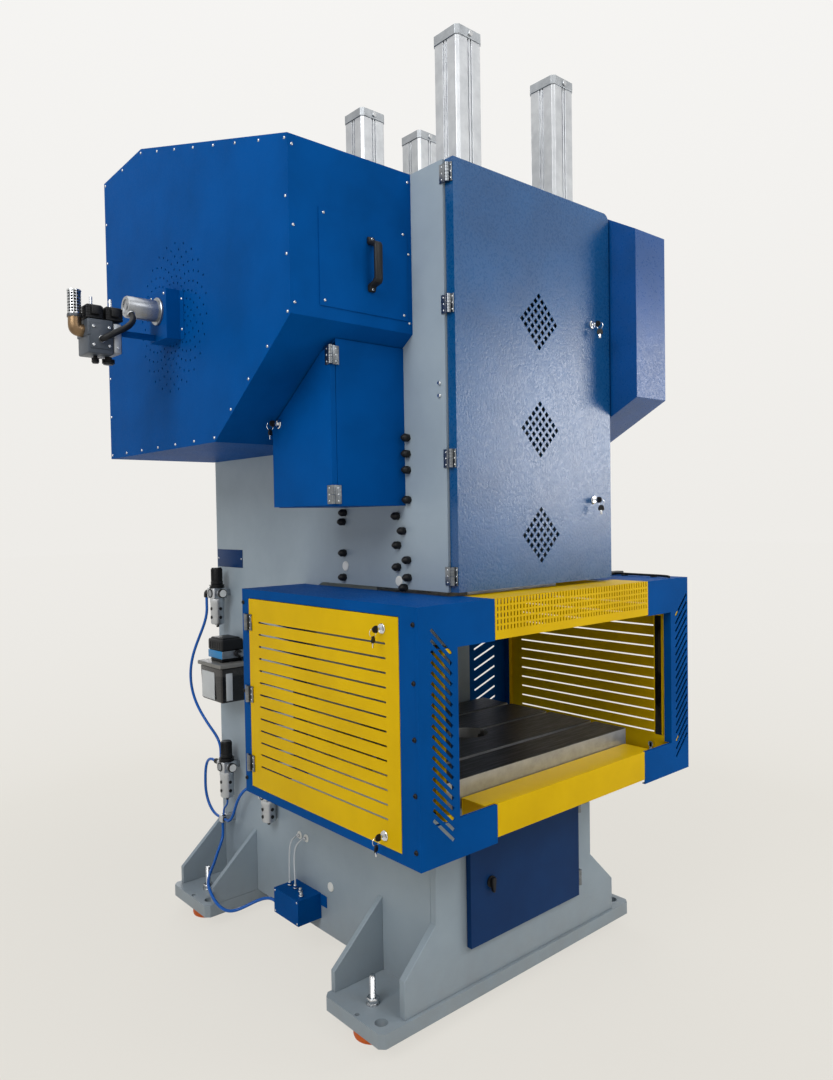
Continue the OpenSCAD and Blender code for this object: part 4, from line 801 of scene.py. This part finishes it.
def make_double_valve():
    """A cast valve body on a bracket, two black coils with their leads, and black dampers."""
    bm = bmesh.new()
    blocks(bm, [
        # The front half stands wide of the rear one, with a joint line between them.
        (0, (-1158, -1076), (60, 150), (2168, 2278), 5, 3),
        (3, (-1074, -1046), (66, 148), (2176, 2272), 4, 3),
        (2, (-1080, -1068), (70, 144), (2180, 2268), 2),
        (0, (-1150, -1084), (56, 64), (2184, 2262), 2),
        (0, (-1160, -1074), (58, 152), (2224, 2236), 1.5),
        (4, (-1046, HUB), (140, 150), (2250, 2270), 1)])
    for z in (2194, 2252):
        for x, face in ((-1142, 56), (-1092, 56), (-1060, 66)):
            add(bm, cap_screw(9, 5), on(FRONT, (x, face, z)), 2)
    for low, high in ((-1158, -1102), (-1096, -1038)):
        middle = (low + high) / 2
        blocks(bm, [(1, (low + 2, high - 2), (72, 136), (2280, 2326), 6, 4)])
        blocks(bm, [(1, (low + 0.5, high - 0.5), (70.5, 137.5), (z, z + 4), 5, 3)
                    for z in range(2284, 2317, 8)])
        blocks(bm, [(1, (middle - 13, middle + 13), (58, 76), (2292, 2320), 3, 3)])
        add(bm, turned([(0, 0), (13, 0), (13, 6), (5, 8), (5, 34), (0, 35)], 20),
            shift(middle, 105, 2322), 2)
    for x, r in ((-1078, 20), (-1120, 12)):
        ribs = [(0, 0), (r * 0.55, 0), (r * 0.55, 6)]
        for z in (8, 13, 18):
            ribs += [(r, z), (r, z + 2.5), (r * 0.8, z + 3.5)]
        add(bm, turned(ribs + [(r * 0.8, 24), (0, 24)], 24), on(DOWN, (x, 105, 2168)), 1)
    piece("double_valve", bm, [valve_paint, nylon_black, zinc_plate, die_cast, coat_blue],
          ["valve_block"])


def make_moulded_pipe():
    """The rubber pipe from the valve to the rotary inlet, with a clip at either end."""
    bm = bmesh.new()
    add(bm, pipe(MOULDED_PIPE, 20, sides=8))
    for start, end in ((1, 0), (-2, -1)):
        a, b = Vector(MOULDED_PIPE[start]), Vector(MOULDED_PIPE[end])
        stand = (b - a).to_track_quat("Z", "Y").to_matrix().to_4x4()
        add(bm, turned([(9, -9), (11.6, -9), (11.6, -2), (9, -2)], 28), shift(*b) @ stand, 1)
    piece("moulded_pipe", bm, [cable_black, zinc_plate], ["air_hoses"])


def make_silencer():
    """Brass elbow, dark hexagon and a silencer of punched sheet, its holes painted dark as painted
    shade of its inside.
    """
    x, y, z = -1182, 105, 2244
    bm = bmesh.new()
    add(bm, pipe([(-1150, y, z), (-1166, y, z), (x + 4, y, z + 3), (x, y, z + 14),
                  (x, y, z + 40)], 42, sides=8))
    add(bm, prism(48, 11, 1), shift(x, y, z + 38), 3)
    # Its small holes are drawn about 6 mm wide, because finer ones don't show.
    sheet = bmesh.new()
    bmesh.ops.create_cone(sheet, cap_ends=True, segments=14, radius1=21, radius2=21, depth=74)
    upright = [e for e in sheet.edges if abs(e.verts[0].co.z - e.verts[1].co.z) > 1]
    bmesh.ops.subdivide_edges(sheet, edges=upright, cuts=7, use_grid_fill=True)
    for face in sheet.faces:
        face.material_index = 1
    cells = [f for f in sheet.faces if abs(f.normal.z) < 0.5]
    bmesh.ops.inset_individual(sheet, faces=cells, thickness=1.5, depth=0)
    # The middle of each cell is a shallow hole, painted dark as the painted shade inside the
    # silencer.
    bmesh.ops.inset_individual(sheet, faces=cells, thickness=0.3, depth=-1.2)
    for face in cells:
        face.material_index = 2
    add(bm, sheet, shift(x, y, z + 88), None)
    for height, rim in ((49, [(19, 0), (22, 0), (22, 4), (20.5, 5)]),
                        (120, [(20.5, 0), (22, 1), (22, 3), (17, 6), (0, 6)])):
        add(bm, turned(rim, 28), shift(x, y, z + height), 1)
    piece("silencer", bm, [brass, zinc_plate, hole_painted_shade, cast_iron], ["valve_silencer"])


make_rotary_inlet()
make_double_valve()
make_moulded_pipe()
make_silencer()

# ---- Compressed air: two regulators and a filter ----

# Each unit: its place along X and Y, then the heights of its bowl's bottom, its body's bottom,
# its body's top and, where it has a dial and a knob, its knob's top.
AIR_UNITS = {
    "regulator_knob_high": (-450, 600, 1186, 1300, 1345, 1430),
    "regulator_knob_low": (-450, 550, 458, 572, 616, 699),
    "filter": (-430, 250, 428, 520, 566, None),
}


def air_unit(bm, x, y, low, body, top, knob):
    """A regulator body with ports, a ribbed neck and a metal bowl with sight windows."""
    high, deep = top - body, body - low
    at, bowl, middle = shift(x, y, body), shift(x, y, low), body + high / 2
    blocks(bm, [(0, (-31, 31), (-31, 31), (0, high), 5, 3),
                (2, (29, PLATE - x), (-18, 18), (8, high - 8), 1.5)], at)
    add(bm, turned([(0, high - 2), (32, high - 2), (32, high + 3), (29, high + 4),
                    (29, high + 8), (32, high + 9), (32, high + 12), (0, high + 12)]), at, 1)
    add(bm, turned([(0, 0), (12, 0), (13, 3), (25, 5), (28, 10), (28.6, deep - 18),
                    (30, deep - 16), (30, deep - 4), (28, deep + 2), (0, deep + 2)], 40), bowl)
    add(bm, turned([(0, -9), (5, -9), (6, -6), (6, 2), (0, 2)], 16), bowl, 1)
    for side in (LEFT, FRONT):
        for up in (0.3, 0.62):
            add(bm, turned([(0, 26), (7, 26), (7, 29.4), (5.6, 30), (0, 29)], 20),
                on(side, (x, y, low + deep * up)), 1)
    # A port ring on the operator's side of the body, and a blank cap in it.
    add(bm, turned([(0, 30), (19, 30), (19, 33), (17, 34), (16, 32.4), (0, 32.4)]),
        on(LEFT, (x, y, middle)), 1)
    add(bm, turned([(0, 32), (14, 32), (14, 33.4), (0, 33.4)], 28), on(LEFT, (x, y, middle)), 2)
    for side, out in ((BACK, 31), (FRONT, -31)):
        add(bm, boss(17, 8, 14, 9, 24), on(side, (x, y + out, middle)))
    if knob:
        # A small dial in front, with a rim round its white face.
        front = on(FRONT, (x, y - 31, middle))
        add(bm, turned([(0, 8), (11, 8), (19, 10), (19, 22), (17.5, 23.5), (16, 22.5),
                        (0, 22.5)]), front, 1)
        add(bm, turned([(0, 22.6), (15.6, 22.6), (15.6, 22.9), (0, 22.9)]), front, 3)


def union_nut(bm, side, at, r, long):
    """A fitting that takes the end of a hose: a nut, and a collar towards the hose."""
    place = on(side, at)
    add(bm, prism(r * 2.1, long * 0.55, 0.6), place, 1)
    add(bm, turned([(0, 0), (r * 0.86, 0), (r * 0.86, long), (0, long)], 20), place, 1)


def make_knob(name, x, y, low, high):
    """A black pressure knob on its stem, ribbed all round."""
    knob = bmesh.new()
    at, tall = shift(x, y, low), high - low
    add(knob, turned([(0, -20), (8, -20), (8, 0), (24, 0), (25, 2), (25, 14), (23, 16),
                      (22, tall - 4), (20, tall), (0, tall)], 40), at)
    for k in range(24):
        add(knob, slab((20.6, 24), (-1.3, 1.3), (17, tall - 6), 0.5), at @ turn(k * 15))
    piece(name + "_ribbed", knob, [nylon_black], [name], name)


def make_air_units():
    """The three units with their elbow, tee, branch piece and nuts, and then the knobs."""
    bm = bmesh.new()
    for unit in AIR_UNITS.values():
        air_unit(bm, *unit)
    # Elbow behind the upper regulator, and the tee behind the lower one.
    add(bm, pipe([(-450, 636, 1322), (-450, 660, 1322), (-450, 688, 1321), (-450, 696, 1312),
                  (-450, 696, 1298)], 22, sides=8), finish=1)
    add(bm, boss(11, 55, 9, 56, 24), on(BACK, (-450, 590, 594)), 1)
    union_nut(bm, DOWN, (-450, 696, 1308), 11, 10)
    union_nut(bm, BACK, (-450, 630, 594), 12, 14)
    union_nut(bm, UP, (-450, 600, 596), 10, 9)
    # Branch piece where the hoses meet, low on the plate.
    blocks(bm, [(0, (-462, PLATE), (578, 606), (342, 372), 3, 3)])
    for side, at in ((BACK, (-450, 604, 357)), (UP, (-450, 586, 371)), (FRONT, (-450, 579, 357)),
                     (DOWN, (-450, 596, 343))):
        add(bm, boss(9, 2, 7.5, 3), on(side, at), 1)
    piece("air_units", bm, [anodised, nylon_black, die_cast, dial_white],
          ["regulators"])
    for name, (x, y, _, _, top, knob) in AIR_UNITS.items():
        if knob:
            make_knob(name, x, y, top + 12.3, knob)


make_air_units()

# ---- Lubrication: pump head on a see-through tank, and the fittings of the small valve box ----


def make_pump():
    """A black pump head with cooling ribs, over a band and a round side cover."""
    bm = bmesh.new()
    blocks(bm, [
        (0, (-510, -410), (455, 577), (1092, 1140), 9, 4),
        (0, (-502, -418), (465, 567), (1130, 1146), 6, 3),
        # The band round the pump: a blue cover on the operator's side, bare casting elsewhere.
        (3, (-508, -411), (456, 576), (1062, 1093), 2),
        (1, (-509.4, -506), (458, 575), (1062, 1093), 1),
        (0, (-500, -410), (475, 571), (1044, 1063), 3)])
    blocks(bm, [(0, (-511.5, -509), (y, y + 6), (1100, 1130)) for y in range(473, 554, 16)])
    add(bm, boss(15, 14, 12, 16), on(FRONT, (-440, 455, 1080)))
    add(bm, turned([(0, 0), (7, 0), (7, 26), (0, 26)], 16), on(FRONT, (-440, 443, 1080)), 2)
    piece("lubricator_pump", bm, [nylon_black, enamel_light_blue, turned_steel, die_cast],
          ["oil_pump"])


def make_tank():
    """A moulded tank that tapers at its foot, with a rim, a cap and two blank plates."""
    bm = bmesh.new()
    x, y, z = (-527, -403), (433, 617), (884, 1044)
    shell = slab(x, y, (z[0], z[1] - 16), 9, 4)
    foot = [v for v in shell.verts if v.co.z < z[0] + 20]
    bmesh.ops.scale(shell, verts=foot, vec=(0.94, 0.94, 1),
                    space=shift(-sum(x) / 2, -sum(y) / 2, -z[0] - 1))
    add(bm, shell)
    blocks(bm, [
        (1, (x[0] - 8, x[1]), (y[0] - 8, y[1] + 8), (z[1] - 16, z[1]), 3, 3),
        (2, (x[0] - 1.6, x[0] + 1), (492, 600), (z[0] + 10, z[1] - 38)),
        (2, (-506, -478), (y[0] - 1.6, y[0] + 1), (z[0] + 10, z[1] - 38)),
        (3, (x[1], PLATE), (y[0] + 20, y[1] - 20), (900, 1040), 1)])
    add(bm, boss(20, 10, 17, 13, 28), shift(-440, 590, z[1]), 1)
    piece("lubricator_tank", bm, [tank_smoke, tank_rim, label_plate, zinc_plate],
          ["oil_tank"])


def make_plate_fittings():
    """Nipples and screws on the small box's lid, and the plugs and screws of the side plate."""
    bm = bmesh.new()
    for x, y in ((-450, 74), (-450, 36), (-452, -2), (-470, -34)):
        add(bm, prism(17, 7, 0.6), shift(x, y, 236))
        add(bm, turned([(0, 7), (6, 7), (6, 16), (5, 18), (0, 18)], 18), shift(x, y, 236))
    for y in (-50, 98):
        for z in (150, 228):
            add(bm, pan_screw(7, 2.4), on(LEFT, (-500, y, z)))
    for y in (78, 34):
        add(bm, boss(15, 2.4, 13, 3.4, 28), on(LEFT, (PLATE, y, 416)), 1)
        add(bm, prism(15, 9, 0.6), on(LEFT, (PLATE - 3, y, 416)))
    for y, z in ((-252, 1463), (-542, 1424), (-122, 280)):
        add(bm, turned([(0, 0), (17, 0), (17, 2.4), (14, 5), (0, 5.6)], 28),
            on(LEFT, (PLATE, y, z)), 1)
    for z in (2036, 1998):
        add(bm, turned([(0, 0), (7, 0), (7, 4), (5, 7), (0, 8)], 20), on(LEFT, (PLATE, -748, z)))
    piece("plate_fittings", bm, [zinc_plate, plug_white])


make_pump()
make_tank()
make_plate_fittings()

# ---- Glands, blank plate, conduit, light curtains and balance cylinders ----

GLANDS = [(-597, 1883), (-597, 1832), (-597, 1781), (-597, 1686), (-540, 1635), (-569, 1587),
          (-543, 1541), (-591, 1494), (-541, 1470), (-592, 1438), (-573, 1405), (-253, 1650),
          (-245, 1618), (-248, 1509), (-245, 1424)]


def make_glands():
    """Hexagon foot, ribbed cap and a blind dome on each gland."""
    bm = bmesh.new()
    for y, z in GLANDS:
        place = on(LEFT, (PLATE, y, z)) @ turn(15)
        add(bm, prism(27, 7, 1), place)
        add(bm, turned([(0, 6), (12, 6), (12.6, 8), (12.6, 17), (11, 20), (8, 23.5), (7, 24),
                        (7, 26), (5, 28), (0, 28)], 24), place)
    piece("cable_gland_set", bm, [nylon_black], ["cable_glands"])


make_glands()


def make_trim():
    """The left plate's blank plate, the conduit at the right, and the curtains' faces."""
    bm = bmesh.new()
    add(bm, pipe([(640, -560, 1393), (634, -640, 1395), (624, -760, 1395), (614, -880, 1395),
                  (611, -905, 1392)], 9, sides=6), finish=2)
    blocks(bm, [(0, (PLATE - 1.6, PLATE), (470, 684), (1430, 1505), 0.5),
                (2, (560, 690), (-650, -618), (1388, 1401), 2),
                (2, (608, 640), (-706, -694), (1388, 1392), 1),
                (2, (608, 640), (-836, -824), (1388, 1392), 1)])
    for y in (480, 674):
        add(bm, pan_screw(8, 2), on(LEFT, (PLATE - 1.6, y, 1467)), 1)
    # Each light curtain: its cover strip, and the middle of its two end pieces.
    for face, middle in ((596, 617), (-523, -544)):
        ends = (middle - 20, middle + 20), (-881, -847)
        blocks(bm, [(3, (face - 1.8, face + 1.8), (-878.5, -849.5), (797, 1247), 0.5),
                    (2, *ends, (779, 796.5), 3), (2, *ends, (1247.5, 1264), 3)])
    piece("plate_and_conduit", bm, [coat_navy, zinc_plate, cable_black, optic_black])


make_trim()
CYLINDERS = [(-233, -678), (233, -678), (-142, -78), (142, -78)]


def make_cylinder_details():
    """Four socket screws on each top cap, and a port at the front and back of each cap."""
    bm = bmesh.new()
    for x, y in CYLINDERS:
        for dx in (-38, 38):
            for dy in (-38, 38):
                add(bm, cap_screw(14, 3), shift(x + dx, y + dy, 3157))
        for side, out in ((FRONT, -58), (BACK, 58)):
            for height, long in ((2715, 8), (3145, 5)):
                add(bm, prism(20, long, 0.8), on(side, (x, y + out, height)))
    piece("cylinder_fasteners", bm, [zinc_plate])


make_cylinder_details()

# ---- Floor, light and background ----

# The paper that the machine stands on, and the same paper rising behind it.
FLOOR_COLOUR, HORIZON_COLOUR, TOP_COLOUR = "#e5e2db", "#eeece8", "#f6f5f3"
# Metres from the middle: how far the floor keeps its colour, and where its shadow fades out.
FLOOR_REACH, SHADOW_FROM, SHADOW_TO = 2.6, 1.1, 3.4
# How much of the floor beside the machine is bright paper, and how much light the room gives.
PAPER_SHARE, ROOM_LIGHT = 0.84, 0.18
# Each lamp: where it hangs, what it faces, its width in metres and its power in watts.
LAMPS = {
    "lamp_door": ((3.1, -3.1, 2.25), (0.15, -0.8, 1.9), 1.5, 54),
    "lamp_front": ((0.6, -6.0, 5.8), (0, -0.6, 1.5), 3.4, 135),
    "lamp_left": ((-5.0, -1.8, 4.8), (-0.5, 0, 1.6), 3.4, 205),
    "lamp_top": ((0, 0.3, 6.4), (0, 0, 0), 4.6, 80),
    "lamp_back": ((2.2, 4.6, 3.4), (0, 0, 1.5), 3.2, 90),
}


def seen_directly(tree):
    """One for what an eye, metal or glass sees, and nought for what lights the machine."""
    path = node(tree, "ShaderNodeLightPath").node.outputs
    seen = node(tree, "ShaderNodeMath", {
        0: path["Is Camera Ray"], 1: path["Is Transmission Ray"]}, operation="MAXIMUM")
    return node(tree, "ShaderNodeMath", {0: seen, 1: path["Is Glossy Ray"]}, operation="MAXIMUM")


def paper_floor():
    """A pale floor with the machine's shadow, which turns into plain bright paper farther out."""
    made, tree, shader, place = material("paper_floor")
    shader.inputs["Base Color"].default_value = colour(FLOOR_COLOUR)
    shader.inputs["Roughness"].default_value = 0.9
    shader.inputs["Specular IOR Level"].default_value = 0.1
    far = node(tree, "ShaderNodeVectorMath", {0: place}, "Value", operation="LENGTH")
    near = node(tree, "ShaderNodeMath", {0: FLOOR_REACH, 1: far}, operation="DIVIDE",
                use_clamp=True)
    tone = node(tree, "ShaderNodeMixRGB", {
        "Fac": near, "Color1": colour(HORIZON_COLOUR), "Color2": colour(FLOOR_COLOUR)})
    least = node(tree, "ShaderNodeMath", {0: seen_directly(tree), 1: PAPER_SHARE},
                 operation="MULTIPLY")
    fade = node(tree, "ShaderNodeMapRange", {
        "Value": far, "From Min": SHADOW_FROM, "From Max": SHADOW_TO, "To Min": least,
        "To Max": 1.0}, interpolation_type="SMOOTHSTEP")
    mixed = node(tree, "ShaderNodeMixShader", {
        0: fade, 1: shader.outputs["BSDF"],
        2: node(tree, "ShaderNodeEmission", {"Color": tone, "Strength": 1.0})})
    tree.links.new(mixed, tree.nodes["Material Output"].inputs["Surface"])
    return made


def studio_world():
    """Soft light from all round; eyes, metal and glass see the pale paper instead."""
    world = bpy.data.worlds.new("studio")
    world.use_nodes = True
    tree = world.node_tree
    tree.nodes.clear()
    way = node(tree, "ShaderNodeTexCoord", output="Generated")
    paper = node(tree, "ShaderNodeMixRGB", {
        "Fac": rising(tree, way, 0.0, 0.55), "Color1": colour(HORIZON_COLOUR),
        "Color2": colour(TOP_COLOUR)})
    soft = node(tree, "ShaderNodeBackground", {
        "Color": colour("#f0f2f4"), "Strength": ROOM_LIGHT})
    back = node(tree, "ShaderNodeBackground", {"Color": paper, "Strength": 1.0})
    node(tree, "ShaderNodeOutputWorld", {"Surface": node(tree, "ShaderNodeMixShader", {
        0: seen_directly(tree), 1: soft, 2: back})})
    return world


def make_stage():
    """The floor, the lamps and the world behind them."""
    bm = bmesh.new()
    bmesh.ops.create_grid(bm, x_segments=1, y_segments=1, size=40)
    data = bpy.data.meshes.new("floor")
    bm.to_mesh(data)
    bm.free()
    data.materials.append(paper_floor())
    floor = in_scene("floor", data)
    for name, (place, aim, size, power) in LAMPS.items():
        lamp = bpy.data.lights.new(name, "AREA")
        lamp.size = size
        lamp.energy = power
        holder = in_scene(name, lamp)
        holder.location = place
        holder.rotation_euler = (Vector(aim) - Vector(place)).to_track_quat("-Z", "Y").to_euler()
    bpy.context.scene.world = studio_world()
    bpy.context.scene.view_settings.view_transform = "Standard"


make_stage()
